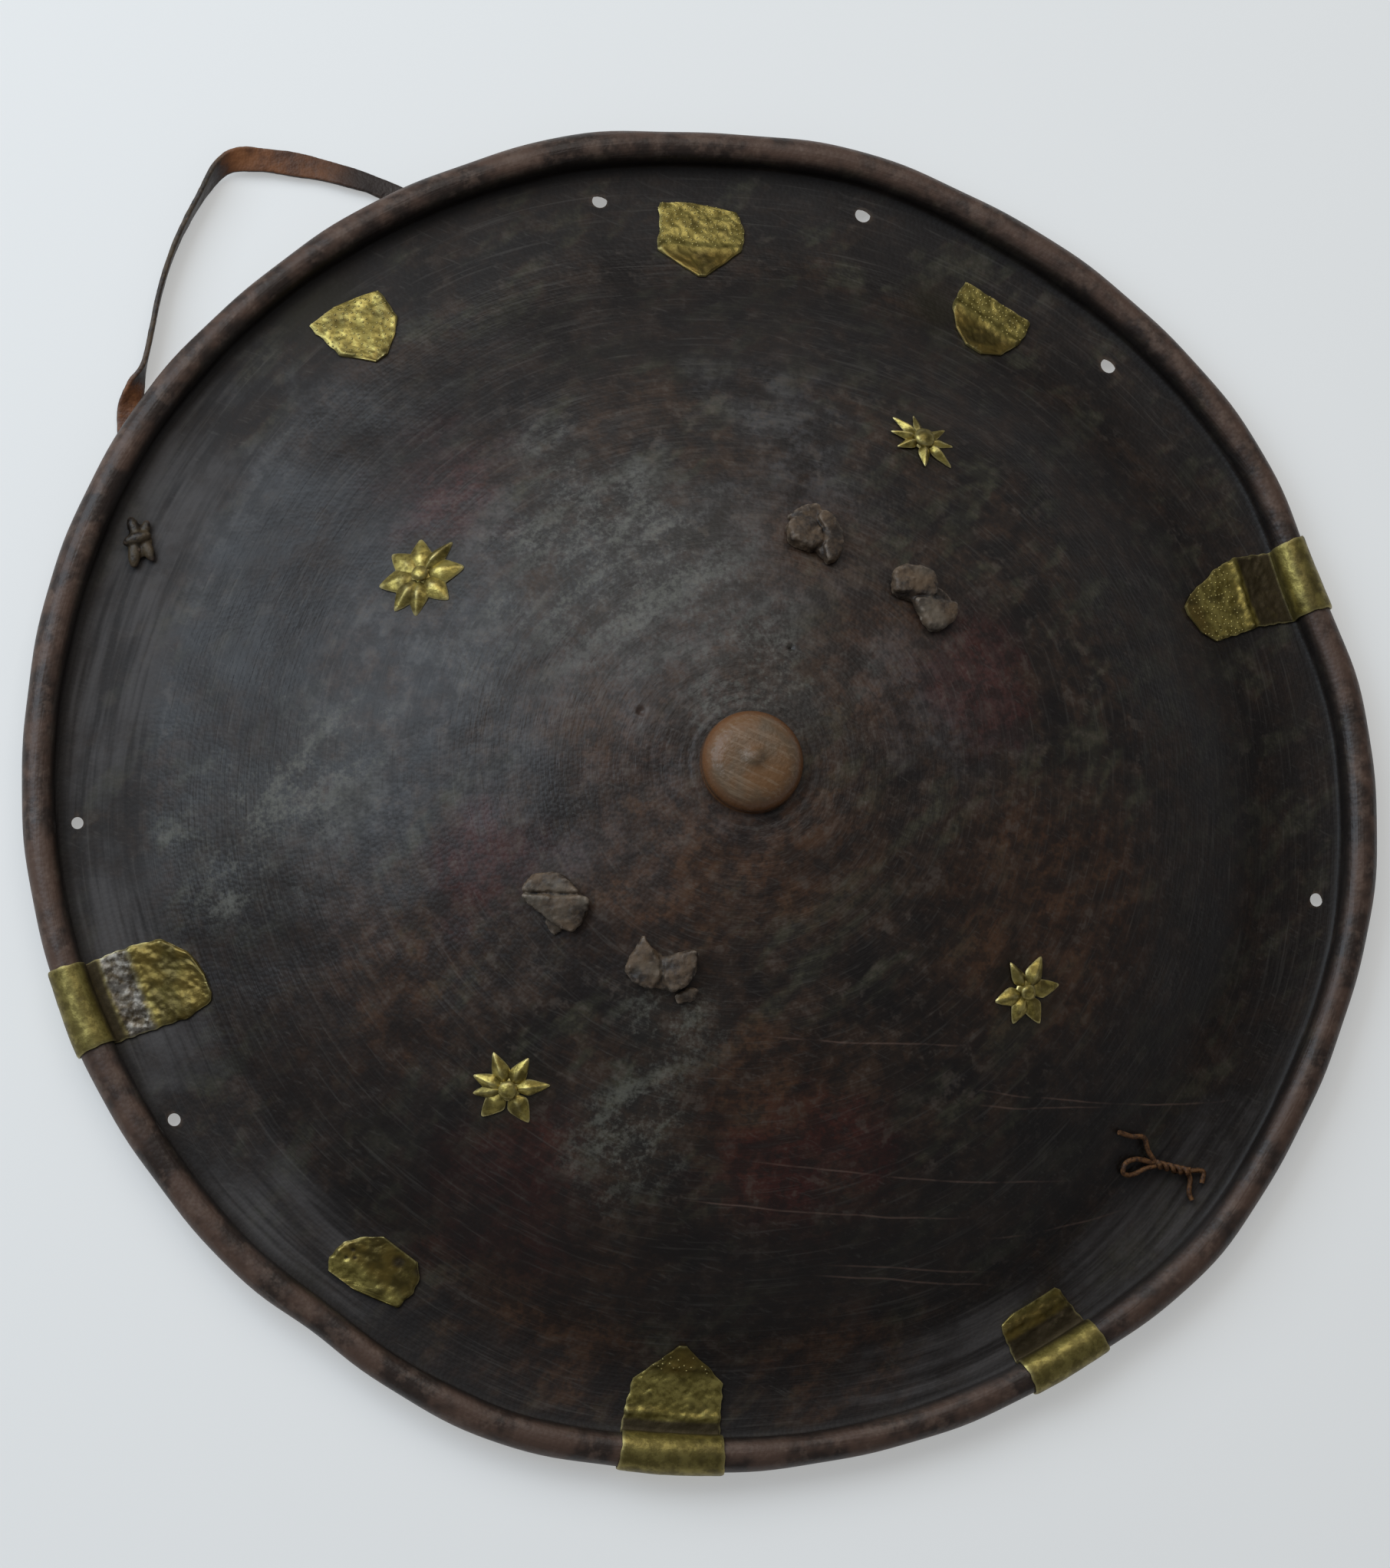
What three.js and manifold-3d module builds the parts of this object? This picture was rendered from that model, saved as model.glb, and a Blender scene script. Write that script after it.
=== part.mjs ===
// A round hide shield, made as in the Horn of Africa: one disc of thick hide,
// shaped into a low dome with a turned boss and a rolled rim, with its grips,
// carrying loop, wire repair, brass stars and brass rim plates.
// Millimetres, +Z up. It lies on its rim on the plane z = 0, boss uppermost.
import * as THREE from "three";
import { mergeVertices } from "three/addons/utils/BufferGeometryUtils.js";
import Module from "manifold-3d";

const wasm = await Module();
wasm.setup();

// ---------------------------------------------------------------- dimensions
const HIDE = 4.8; // thickness of the hide
const BEAD = { radius: 244, height: 10.6, roll: 6 }; // centre line and section of the rim roll
const DISC_CENTRE = { x: -0.11, y: 0.52 }; // middle of the rim, so that the whole part is centred
const DOME_SHIFT = { x: 4.4, y: -7.7 }; // the hand-formed dome sits off the rim's middle
const RIM_LIFT = { at: 130, rise: 5, reach: 62 }; // the rim has warped up here
const CLEAR = 0.35; // gap between pieces that touch
const SEAT = 0.5; // gap under brass laid on the uneven hide
const BRASS = 0.9; // thickness of the brass sheet

// Outer face of the dome: distance from the boss, height.
const DOME = [
  [0, 86], [20, 85.4], [60, 80], [100, 69.5], [140, 53.5], [160, 42.8],
  [180, 30], [200, 17.2], [212, 11], [222, 7.4], [230, 5.6], [235, 5.2],
];

// The turned boss: radius, height above the top of the dome.
const BOSS = [
  [0, 12], [2.2, 11.5], [3.8, 10.1], [10, 9.4], [15, 7.4], [17.7, 4.4], [18.2, 2], [17, -0.3],
];

// Bulges (+) and flats (-) in the outline of the rim: bearing, size, spread.
const RIM_DENTS = [
  [20, -4.6, 8], [76, 2.6, 9], [102, 1.2, 6], [150, 1, 12], [214, -1.4, 18],
  [234.5, -2, 5], [253, 2.2, 8], [318, 2.5, 9], [350, 0.9, 8],
];

// Punched holes in the flange: distance out, bearing.
const LACE_HOLES = [
  [225.9, 100.5], [228, 75.2], [226.7, 47.8], [230.2, 184.8], [231.5, 213.3], [229.8, 351.2],
];
const LACE_HOLE_RADIUS = 2.6;

// ------------------------------------------------------- surface of the hide
const { degToRad, lerp, smoothstep } = THREE.MathUtils;

function turnFrom(bearing, other) {
  return THREE.MathUtils.euclideanModulo(bearing - other + 180, 360) - 180;
}

function domeSlope(i) {
  const before = DOME[Math.max(i - 1, 0)];
  const after = DOME[Math.min(i + 1, DOME.length - 1)];
  return i === 0 ? 0 : (after[1] - before[1]) / (after[0] - before[0]);
}

// Height of the outer face, a smooth curve through the points of DOME.
function domeHeight(out) {
  let i = 0;
  while (i < DOME.length - 2 && DOME[i + 1][0] < out) i += 1;
  const [u0, z0] = DOME[i];
  const [u1, z1] = DOME[i + 1];
  const t = (out - u0) / (u1 - u0);
  const bend0 = domeSlope(i) * (u1 - u0);
  const bend1 = domeSlope(i + 1) * (u1 - u0);
  const ease = t * t * (3 - 2 * t);
  return lerp(z0, z1, ease) + t * (1 - t) * ((1 - t) * bend0 - t * bend1);
}

function rimDent(bearing) {
  let size = 0;
  for (const [at, by, spread] of RIM_DENTS) {
    size += by * Math.exp(-((turnFrom(bearing, at) / spread) ** 2));
  }
  return size;
}

function rimLift(bearing) {
  const share = Math.min(Math.abs(turnFrom(bearing, RIM_LIFT.at)) / RIM_LIFT.reach, 1);
  return RIM_LIFT.rise * Math.cos((share * Math.PI) / 2) ** 2;
}

// A point of the shield from its distance out, height and bearing.
function place([out, height], bearing) {
  const shift = 1 - smoothstep(out, 170, 238);
  const reach = out + rimDent(bearing) * smoothstep(out, 150, 244);
  return new THREE.Vector3(
    DISC_CENTRE.x + DOME_SHIFT.x * shift + reach * Math.cos(degToRad(bearing)),
    DISC_CENTRE.y + DOME_SHIFT.y * shift + reach * Math.sin(degToRad(bearing)),
    height + rimLift(bearing) * smoothstep(out, 150, 225),
  );
}

function onBead(angle) {
  const a = degToRad(angle);
  return [BEAD.radius + BEAD.roll * Math.cos(a), BEAD.height + BEAD.roll * Math.sin(a)];
}

function insidePoint(out) {
  const slope = (domeHeight(out + 1) - domeHeight(out - 1)) / 2;
  const drop = HIDE / Math.hypot(slope, 1);
  return [out + slope * drop, domeHeight(out) - drop];
}

// Sections of the disc from the boss over the rim to the hollow side.
const SIDES = 72;
const OUTER_DOME = [45, 75, 105, 135, 160, 180, 196, 208, 218, 227, 234];
const OUTER = [
  ...OUTER_DOME.map((out) => [out, domeHeight(out)]),
  [237.4, 5.7],
  ...[200, 155, 110, 65, 20, -25, -65].map(onBead),
  [241, 2.4],
];
const INNER_DOME = [216, 201, 185, 165, 140, 105, 70];

function ring(point, sides) {
  return Array.from({ length: sides }, (_, i) => place(point, (i * 360) / sides));
}

// ------------------------------------------------------------ making solids
function solidFrom(points, faces) {
  const geometry = new THREE.BufferGeometry();
  const coordinates = points.flatMap((p) => p.toArray());
  geometry.setAttribute("position", new THREE.Float32BufferAttribute(coordinates, 3));
  geometry.setIndex(faces.flat());
  return geometry;
}

function toManifold(source) {
  const bare = source.clone();
  bare.deleteAttribute("normal");
  bare.deleteAttribute("uv");
  const merged = mergeVertices(bare, 1e-4);
  const mesh = new wasm.Mesh({
    numProp: 3,
    vertProperties: new Float32Array(merged.attributes.position.array),
    triVerts: new Uint32Array(merged.index.array),
  });
  return new wasm.Manifold(mesh);
}

function fromManifold(solid) {
  const mesh = solid.getMesh();
  const geometry = new THREE.BufferGeometry();
  geometry.setAttribute("position", new THREE.BufferAttribute(mesh.vertProperties, 3));
  geometry.setIndex(new THREE.BufferAttribute(mesh.triVerts, 1));
  return geometry;
}

function joined(geometries) {
  return geometries.map(toManifold).reduce((whole, next) => whole.add(next));
}

// Closed skin over rings of points; a ring may have half the points of the next.
function skinRings(rings, { capStart = true, capEnd = true } = {}) {
  const points = rings.flat();
  const starts = [];
  rings.reduce((sum, r) => (starts.push(sum), sum + r.length), 0);
  const faces = [];
  for (let k = 0; k < rings.length - 1; k += 1) {
    joinRings(faces, starts[k], rings[k].length, starts[k + 1], rings[k + 1].length);
  }
  const last = rings.length - 1;
  if (capStart) fan(faces, points, rings[0], starts[0], true);
  if (capEnd) fan(faces, points, rings[last], starts[last], false);
  return solidFrom(points, faces);
}

// Faces between rings of one size, or where one has half the points of the other.
function joinRings(faces, startA, countA, startB, countB) {
  const sides = Math.max(countA, countB);
  const half = (start, count, i) => start + (Math.ceil(i / 2) % count);
  for (let i = 0; i < sides; i += 1) {
    const j = (i + 1) % sides;
    if (countA === countB) {
      faces.push([startA + i, startB + i, startB + j], [startA + i, startB + j, startA + j]);
    } else if (countA < countB) {
      const near = half(startA, countA, i);
      faces.push([near, startB + i, startB + j]);
      if (i % 2 === 0) faces.push([near, startB + j, half(startA, countA, i + 2)]);
    } else {
      const near = half(startB, countB, i);
      faces.push([startA + i, near, startA + j]);
      if (i % 2 === 0) faces.push([startA + j, near, half(startB, countB, i + 2)]);
    }
  }
}

function fan(faces, points, loop, start, reversed) {
  if (loop.length === 1) return;
  const middle = new THREE.Vector3();
  for (const p of loop) middle.addScaledVector(p, 1 / loop.length);
  points.push(middle);
  const hub = points.length - 1;
  loop.forEach((_, i) => {
    const next = start + ((i + 1) % loop.length);
    faces.push(reversed ? [hub, start + i, next] : [hub, next, start + i]);
  });
}

// A flat section swept along a route: each stop is [x, y, z, width, thickness, twist].
function strap(stops) {
  const centres = stops.map(([x, y, z]) => new THREE.Vector3(x, y, z));
  const rings = stops.map(([, , , width, thickness, twist], i) => {
    const before = centres[Math.max(i - 1, 0)];
    const after = centres[Math.min(i + 1, centres.length - 1)];
    const along = after.clone().sub(before).normalize();
    const side = new THREE.Vector3(0, 0, 1).cross(along).normalize();
    const up = along.clone().cross(side);
    const across = side.clone().applyAxisAngle(along, degToRad(twist));
    const lift = up.clone().applyAxisAngle(along, degToRad(twist));
    const corner = (s, t) => {
      const point = centres[i].clone().addScaledVector(across, (s * width) / 2);
      return point.addScaledVector(lift, (t * thickness) / 2);
    };
    return [corner(-1, -1), corner(-1, 1), corner(1, 1), corner(1, -1)];
  });
  return skinRings(rings);
}

function wire(points, radius, steps) {
  const route = new THREE.CatmullRomCurve3(points.map((p) => new THREE.Vector3(...p)));
  const section = new THREE.Shape();
  section.moveTo(radius, 0);
  for (let i = 1; i < WIRE.sides; i += 1) {
    const a = (i * Math.PI * 2) / WIRE.sides;
    section.lineTo(radius * Math.cos(a), radius * Math.sin(a));
  }
  return new THREE.ExtrudeGeometry(section, { steps, extrudePath: route });
}

// Frame on the outer face at a spot: x to the right, y to the top, z out of the hide.
function frameAt(out, bearing) {
  const here = place([out, domeHeight(out)], bearing);
  const outward = place([out + 1, domeHeight(out + 1)], bearing).sub(here);
  const around = place([out, domeHeight(out)], bearing + 0.5).sub(here);
  const normal = outward.cross(around).normalize();
  const right = new THREE.Vector3(1, 0, 0);
  right.addScaledVector(normal, -right.dot(normal)).normalize();
  const top = normal.clone().cross(right);
  return new THREE.Matrix4().makeBasis(right, top, normal).setPosition(here);
}

// ------------------------------------------------------------ the hide disc
function hideDisc() {
  const top = domeHeight(0);
  const boss = BOSS.map(([radius, height]) => [radius, top + height]);
  const rings = [
    [place(boss[0], 0)],
    ...boss.slice(1).map((p) => ring(p, SIDES / 4)),
    ring([20, domeHeight(20)], SIDES / 4),
    ...OUTER.map((p) => ring(p, p[0] < 150 ? SIDES / 2 : SIDES)),
    ring([235, 0], SIDES),
    ring([227, 0], SIDES),
    ...INNER_DOME.map((out) => ring(insidePoint(out), SIDES / 2)),
    ring(insidePoint(30), SIDES / 4),
  ];
  return closedOnAxis(rings);
}

// The first ring is the single point on top of the boss.
function closedOnAxis([tip, ...rings]) {
  const geometry = skinRings(rings, { capStart: false, capEnd: true });
  const index = Array.from(geometry.index.array);
  const position = Array.from(geometry.attributes.position.array);
  const hub = position.length / 3;
  position.push(...tip[0].toArray());
  const count = rings[0].length;
  for (let i = 0; i < count; i += 1) index.push(hub, i, (i + 1) % count);
  const closed = new THREE.BufferGeometry();
  closed.setAttribute("position", new THREE.Float32BufferAttribute(position, 3));
  closed.setIndex(index);
  return closed;
}

// A straight punch through the hide, square to its surface.
const PUNCH_LENGTH = 26;

function punch(frame, radius, sides = 8) {
  const tool = new THREE.CylinderGeometry(radius, radius, PUNCH_LENGTH, sides);
  tool.rotateX(Math.PI / 2);
  return tool.applyMatrix4(frame);
}

function slot(frame, length, width, turn) {
  const tool = new THREE.BoxGeometry(length, width, PUNCH_LENGTH);
  tool.rotateZ(turn);
  return tool.applyMatrix4(frame);
}

// ---------------------------------------------------------------- the grips
// Two leather straps cross the hollow side by side. Each goes out through the
// hide at both ends and is folded into a toggle there.
const GRIP = { width: 17, thickness: 4, sag: 22, drop: 4.4, steps: 12, neck: [9, 4.4, 12] };

const TOGGLES = {
  upper_left: {
    at: [91.1, 73.3],
    height: 6.5,
    outline: [
      [-11.5, 3.5], [-6, 6], [1, 8], [8, 3.5], [8.5, -4.3],
      [5, -9.6], [1, -11.6], [-1.3, -8], [-10.4, -6], [-12.6, -2.6],
    ],
  },
  upper_right: {
    at: [92.8, 45.9],
    height: 7,
    outline: [
      [-12.6, 6], [-8.7, 8.7], [-4, 9.5], [4, 7], [4.4, -2.2],
      [12, -2.2], [9.6, -9.6], [1, -13.8], [-5.2, -3], [-12.6, -3],
    ],
  },
  lower_left: {
    at: [83.4, 216],
    height: 7,
    outline: [
      [-12.6, 2.6], [-8.7, 7.8], [-2.6, 10.4], [7, 6.3], [12.2, -0.9],
      [10.4, -6], [6, -11.6], [0, -9.6], [-6, -5.2], [-12.6, -1],
    ],
  },
  lower_right: {
    at: [78.6, 247.5],
    height: 6.5,
    outline: [
      [-14, -1], [-11.3, 6], [-7, 11.6], [-3.5, 7.8], [0, 4.3],
      [7.8, 7], [11.8, 7.8], [12.2, 0], [3.5, -8.7], [-8.7, -6],
    ],
  },
};

// The folds that show on each toggle: a raised flap over part of the outline.
const FLAPS = {
  upper_left: [[-10, 1], [0.5, 5.5], [6.5, 1.5], [3.5, -6.5], [-8, -4.5]],
  upper_right: [[-11, 5], [2.6, 5.6], [3, -1.4], [-11, -2]],
  lower_left: [[-9, 1.5], [-5, 6.5], [4, 5.5], [7, 1.5]],
  lower_right: [[-10, 1], [-7, 7], [-1, 1.5], [8.5, 4.5], [8.5, -1], [2, -6], [-6, -4.5]],
};

function slab(outline, base, depth, bevel) {
  const shape = new THREE.Shape(outline.map(([x, y]) => new THREE.Vector2(x, y)));
  const geometry = new THREE.ExtrudeGeometry(shape, {
    depth: depth - bevel,
    bevelEnabled: true,
    bevelThickness: bevel,
    bevelSize: bevel,
    bevelOffset: -bevel,
    bevelSegments: 1,
  });
  return geometry.translate(0, 0, base + bevel / 2);
}

// Heights over the hide, in layers: the folded strap, and the flap on top of it.
const FOLD = { seat: 0.95, short: 2.4, bevel: 1.3 };
const FLAP = { below: 3.4, depth: 3.2, bevel: 0.9 };

function toggle(name) {
  const { at, height, outline } = TOGGLES[name];
  const frame = frameAt(...at);
  const body = slab(outline, FOLD.seat, height - FOLD.short, FOLD.bevel);
  const flap = slab(FLAPS[name], height - FLAP.below, FLAP.depth, FLAP.bevel);
  return [body.applyMatrix4(frame), flap.applyMatrix4(frame)];
}

// The part of the strap that passes through the hide.
function neck(name) {
  const [length, width, depth] = GRIP.neck;
  const post = new THREE.BoxGeometry(length, width, depth);
  post.rotateZ(gripTurn());
  post.translate(0, 0, 2 - depth / 2);
  return post.applyMatrix4(frameAt(...TOGGLES[name].at));
}

function gripTurn() {
  const { lower_left: low, upper_left: high } = TOGGLES;
  const from = place([low.at[0], 0], low.at[1]);
  const to = place([high.at[0], 0], high.at[1]);
  return Math.atan2(to.y - from.y, to.x - from.x) + Math.PI / 2;
}

function underHide(name) {
  return new THREE.Vector3(0, 0, -HIDE - GRIP.drop).applyMatrix4(frameAt(...TOGGLES[name].at));
}

// The strap hangs under the dome, a little flatter than an arc.
function grip(from, to) {
  const [start, end] = [underHide(from), underHide(to)];
  const stops = [];
  for (let i = 0; i <= GRIP.steps; i += 1) {
    const t = i / GRIP.steps;
    const p = start.clone().lerp(end, lerp(-0.03, 1.03, t));
    const arch = 4 * t * (1 - t);
    const drop = (GRIP.sag * (Math.sqrt(arch) + arch)) / 2;
    stops.push([p.x, p.y, p.z - drop, GRIP.width, GRIP.thickness, 0]);
  }
  return joined([strap(stops), neck(from), neck(to), ...toggle(from), ...toggle(to)]);
}

// -------------------------------------------------------- the carrying loop
// A narrow leather thong tied through the flange. Both runs pass under the
// rim where it has lifted, and the bight stands clear of the edge.
const KNOT = { at: [226.2, 157.9], turn: degToRad(100) };
const THONG_ROUTE = [
  [-205.5, 79, 1.3, 8, 2, 0], [-208, 96, 1.3, 10, 2, 0], [-211.5, 118, 1.3, 10, 2, 0],
  [-213.4, 136, 1.8, 10, 2, 0], [-212, 145, 4, 9, 2, 45], [-209.2, 153, 5.1, 9.6, 2, 86],
  [-206.5, 167, 5.2, 10, 2, 90], [-204, 181, 5.3, 10, 2, 90], [-200, 196, 5.3, 10, 2, 90],
  [-194.8, 209, 5.3, 10, 2, 88], [-188.6, 221, 5.5, 10, 2, 82], [-183.2, 229.8, 5.6, 9.6, 2, 62],
  [-177, 234.2, 5, 9, 2, 30], [-168.5, 235, 4, 9.3, 2, 8], [-158, 234.4, 3.2, 9.3, 2, 2],
  [-147, 233, 2.6, 9, 2, -3], [-136, 230.6, 2.5, 8.4, 2, -14], [-125, 227.5, 2.2, 8, 2, -12],
  [-114, 222, 1.8, 9, 2, 0], [-107, 212.5, 1.3, 10, 2, 0], [-107, 200, 1.3, 10, 2, 0],
  [-113, 186, 1.3, 10, 2, 0], [-124, 168, 1.3, 10, 2, 0], [-140, 145, 1.3, 10, 2, 0],
  [-158, 122, 1.3, 10, 2, 0], [-177, 101, 1.3, 10, 2, 0], [-193, 87, 1.3, 10, 2, 0],
  [-204, 80, 1.3, 9, 2, 0],
];

// The knot's turns on the face: place beside the hole, then length, width and height.
const KNOT_LUMPS = [[5.6, 0, 9, 8.5, 5.4], [-4.6, 0.6, 11, 9.6, 5], [0.6, -0.4, 6, 11, 6.2]];
const KNOT_STEM = { radius: 1.9, length: 9.6, middle: -3 };

function knotLump(x, y, length, width, height) {
  const ball = new THREE.SphereGeometry(1, 8, 5);
  ball.scale(length / 2, width / 2, height / 2);
  ball.translate(x, y, height / 2 + CLEAR);
  ball.rotateZ(KNOT.turn);
  return ball.applyMatrix4(frameAt(...KNOT.at));
}

function carryingLoop() {
  const { radius, length, middle } = KNOT_STEM;
  const stem = new THREE.CylinderGeometry(radius, radius, length, 8);
  stem.rotateX(Math.PI / 2);
  stem.translate(0, 0, middle);
  stem.applyMatrix4(frameAt(...KNOT.at));
  const foot = new THREE.BoxGeometry(12, 9, 2);
  foot.translate(-208.4, 82.5, 1.3);
  return joined([strap(THONG_ROUTE), foot, stem, ...KNOT_LUMPS.map((lump) => knotLump(...lump))]);
}

// ------------------------------------------------------------- the wire tie
// Iron wire twisted tight over the flange, its ends through two small holes.
// Every point of a wire is a distance out, a bearing and a height over the hide.
const WIRE = { radius: 1.05, sides: 4, holes: [[203.4, 320], [217, 321.4]], holeRadius: 2.1 };
const LOW = 1.6;
const WIRES = [
  { steps: 8, points: [
    [207, 320.5, 2.4], [203, 319.9, 2], [199, 319.3, LOW], [196.6, 318.2, LOW],
    [198.6, 317.3, LOW], [202, 317.8, LOW], [204.4, 319.2, 2], [207, 320.2, 2.4]] },
  { steps: 4, points: [
    [206.5, 320.4, 2.6], [200.5, 320.8, 2], [195.6, 321.5, LOW], [191, 320.6, LOW], [185.8, 319.9, LOW]] },
  { steps: 14, points: [
    [206.5, 320.4, 2.2], [203.4, 320, 1], [203.4, 320, -5.8], [207.4, 320.4, -7.6], [213, 321, -7.4],
    [217, 321.4, -5.6], [217, 321.4, 1], [220, 321.9, 2], [226, 322.9, 1.9], [228.6, 322, 1.7]] },
  { steps: 3, points: [
    [219.6, 321.9, 2.4], [223.4, 321.6, 2], [226.5, 320.6, LOW], [229.4, 320.2, 1.7]] },
];
const STEM = { turns: 1.5, steps: 7, from: [206, 320.3], to: [221, 322], middle: 2.6, swing: 0.95 };

function overHide([out, bearing, height]) {
  return new THREE.Vector3(0, 0, height).applyMatrix4(frameAt(out, bearing)).toArray();
}

function twistedStem(phase) {
  const points = [];
  for (let i = 0; i <= STEM.steps; i += 1) {
    const t = i / STEM.steps;
    const a = degToRad(phase) + t * STEM.turns * Math.PI * 2;
    const out = lerp(STEM.from[0], STEM.to[0], t);
    const bearing = lerp(STEM.from[1], STEM.to[1], t) + 0.25 * Math.cos(a);
    points.push(overHide([out, bearing, STEM.middle + STEM.swing * Math.sin(a)]));
  }
  return wire(points, WIRE.radius, STEM.steps);
}

function wireTie() {
  const bent = WIRES.map(({ steps, points }) => wire(points.map(overHide), WIRE.radius, steps));
  return joined([...bent, twistedStem(0), twistedStem(180)]);
}

// ------------------------------------------------------ the brass rim plates
// Each row is a distance out with the plate's two side bearings. A plate that
// still holds the rim goes on over the roll to its underside.
const PLATES = {
  rim_clip_right: { wraps: true, rows: [
    [190.5, 22.8, 23.9], [194, 20.3, 24.6], [199.5, 18.7, 25],
    [210, 18.5, 25.5], [220.5, 18.3, 25.5], [237, 17.6, 24.4]] },
  rim_clip_left: { wraps: true, rows: [
    [199, 200.8, 203], [202, 198.2, 204.2], [208.5, 196.6, 204.8],
    [220, 196.8, 204.9], [237, 197.6, 205]] },
  rim_clip_bottom: { wraps: true, rows: [
    [201.6, 266, 266.8], [210, 264, 269.4], [216.5, 262.5, 271], [237, 262.4, 271.1]] },
  rim_clip_lower_right: { wraps: true, rows: [
    [219.6, 300, 304.9], [221.5, 298.5, 305.1], [237, 298.3, 305.5]] },
  rim_plate_top: { wraps: false, rows: [
    [196.4, 91.5, 92.4], [201.5, 89.2, 94.4], [206.5, 87.2, 96.2],
    [214, 86.8, 95.3], [221.3, 87.4, 95], [224.2, 92, 94.7]] },
  rim_plate_top_left: { wraps: false, rows: [
    [202, 127.4, 129], [206.5, 125.3, 130.2], [211, 124.1, 131.2],
    [222, 124, 131.4], [225.4, 128.6, 131.4]] },
  rim_plate_top_right: { wraps: false, rows: [
    [197, 60, 62], [201.5, 57.9, 63.6], [208, 56.8, 64.5],
    [214, 56.4, 64.3], [220.3, 56.5, 63.9]] },
  rim_plate_lower_left: { wraps: false, rows: [
    [205, 234, 238.4], [209, 232.8, 239.4], [215, 231.8, 239.9],
    [223, 231.8, 239.6], [228, 232.8, 235.2]] },
};
const PLATE_STRIPS = 3; // facets across each plate

const MIN_FACET = 1.2;
const FLANGE_END = 237;

// The plate's own section, from its tongue outwards, with its side bearings.
function plateRows({ wraps, rows }) {
  const first = rows[0][0];
  const last = rows[rows.length - 1][0];
  const stops = new Set(rows.map(([out]) => out));
  const within = OUTER_DOME.filter((out) => out > first + MIN_FACET && out < last - MIN_FACET);
  within.forEach((out) => stops.add(out));
  const flat = [...stops].filter((out) => out < FLANGE_END).sort((p, q) => p - q);
  const path = flat.map((out) => [onFacets(out), sidesAt(rows, out)]);
  if (wraps) OUTER.slice(OUTER_DOME.length).forEach((p) => path.push([p, sidesAt(rows, FLANGE_END)]));
  return path;
}

function onFacets(out) {
  const i = OUTER.findIndex(([u]) => u >= out);
  const [u0, z0] = OUTER[i - 1];
  const [u1, z1] = OUTER[i];
  return [out, lerp(z0, z1, (out - u0) / (u1 - u0))];
}

function sidesAt(rows, out) {
  const i = Math.max(rows.findIndex(([u]) => u >= out), 1);
  const [u0, from0, to0] = rows[i - 1];
  const [u1, from1, to1] = rows[i];
  const t = (out - u0) / (u1 - u0);
  return [lerp(from0, from1, t), lerp(to0, to1, t)];
}

function plate(name) {
  const path = plateRows(PLATES[name]);
  const layer = (height) => path.map(([[out, z], [from, to]], i) => {
    const [u0, z0] = path[Math.max(i - 1, 0)][0];
    const [u1, z1] = path[Math.min(i + 1, path.length - 1)][0];
    const length = Math.hypot(u1 - u0, z1 - z0);
    const lifted = [out - (height * (z1 - z0)) / length, z + (height * (u1 - u0)) / length];
    const spots = Array.from({ length: PLATE_STRIPS + 1 }, (_, k) => lerp(from, to, k / PLATE_STRIPS));
    return spots.map((bearing) => place(lifted, bearing));
  });
  return closedSheet(layer(SEAT), layer(SEAT + BRASS));
}

function closedSheet(lower, upper) {
  const rings = lower.map((row, i) => [...row, ...upper[i].slice().reverse()]);
  const points = rings.flat();
  const size = rings[0].length;
  const faces = [];
  for (let i = 0; i < rings.length - 1; i += 1) {
    joinRings(faces, (i + 1) * size, size, i * size, size);
  }
  const last = (rings.length - 1) * size;
  for (let k = 0; k < size / 2 - 1; k += 1) {
    const [low, lowNext, high, highNext] = [k, k + 1, size - 1 - k, size - 2 - k];
    faces.push([low, highNext, lowNext], [low, high, highNext]);
    faces.push([last + low, last + lowNext, last + highNext]);
    faces.push([last + low, last + highNext, last + high]);
  }
  return solidFrom(points, faces);
}

// ------------------------------------------------------------ the star studs
// Cut and ridged brass leaves round a hub, held by a brass rivet clenched inside.
// Each petal is a bearing and a length.
const STARS = {
  star_upper_left: { at: [135.1, 148], petals: [
    [5, 16.5], [46, 16.5], [90, 15], [137, 15], [188, 16.5], [232, 16.8], [262, 16.6], [312, 15]] },
  star_upper_right: { at: [147, 62.1], petals: [
    [0, 14.5], [38, 16], [103, 14], [140, 15.5], [170, 13.5], [205, 12.5], [270, 13], [315, 15.5]] },
  star_lower_left: { at: [139.3, 234.1], petals: [
    [9, 16.3], [60, 14.5], [115, 15.4], [162, 14.6], [190, 14], [228, 15], [304, 15]] },
  star_lower_right: { at: [127, 324], petals: [
    [11, 15.3], [65, 15.4], [122, 13.6], [196, 14], [247, 13.4], [299, 14]] },
};
const STAR = {
  hub: 4.2, hubHeight: 1.5, widestAt: 0.55, halfWidth: 2.5, widthPerDegree: 0.09, ridge: 2.3, sheet: 0.8,
};
const RIVET = { shank: 1.2, head: 3.1, crown: 1.9, clench: 2.9, clearOfStar: 0.75, clearOfHide: 1.3, sides: 6 };
const DOME_CURVE = 640; // twice the dome's radius of curvature where the stars lie

// A point of a star, bent down to follow the dome under it.
function onDome([x, y], height) {
  return new THREE.Vector3(x, y, SEAT + height - (x * x + y * y) / DOME_CURVE);
}

function fromHub(radius, bearing, side = 0) {
  const a = degToRad(bearing);
  return [radius * Math.cos(a) - side * Math.sin(a), radius * Math.sin(a) + side * Math.cos(a)];
}

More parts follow.
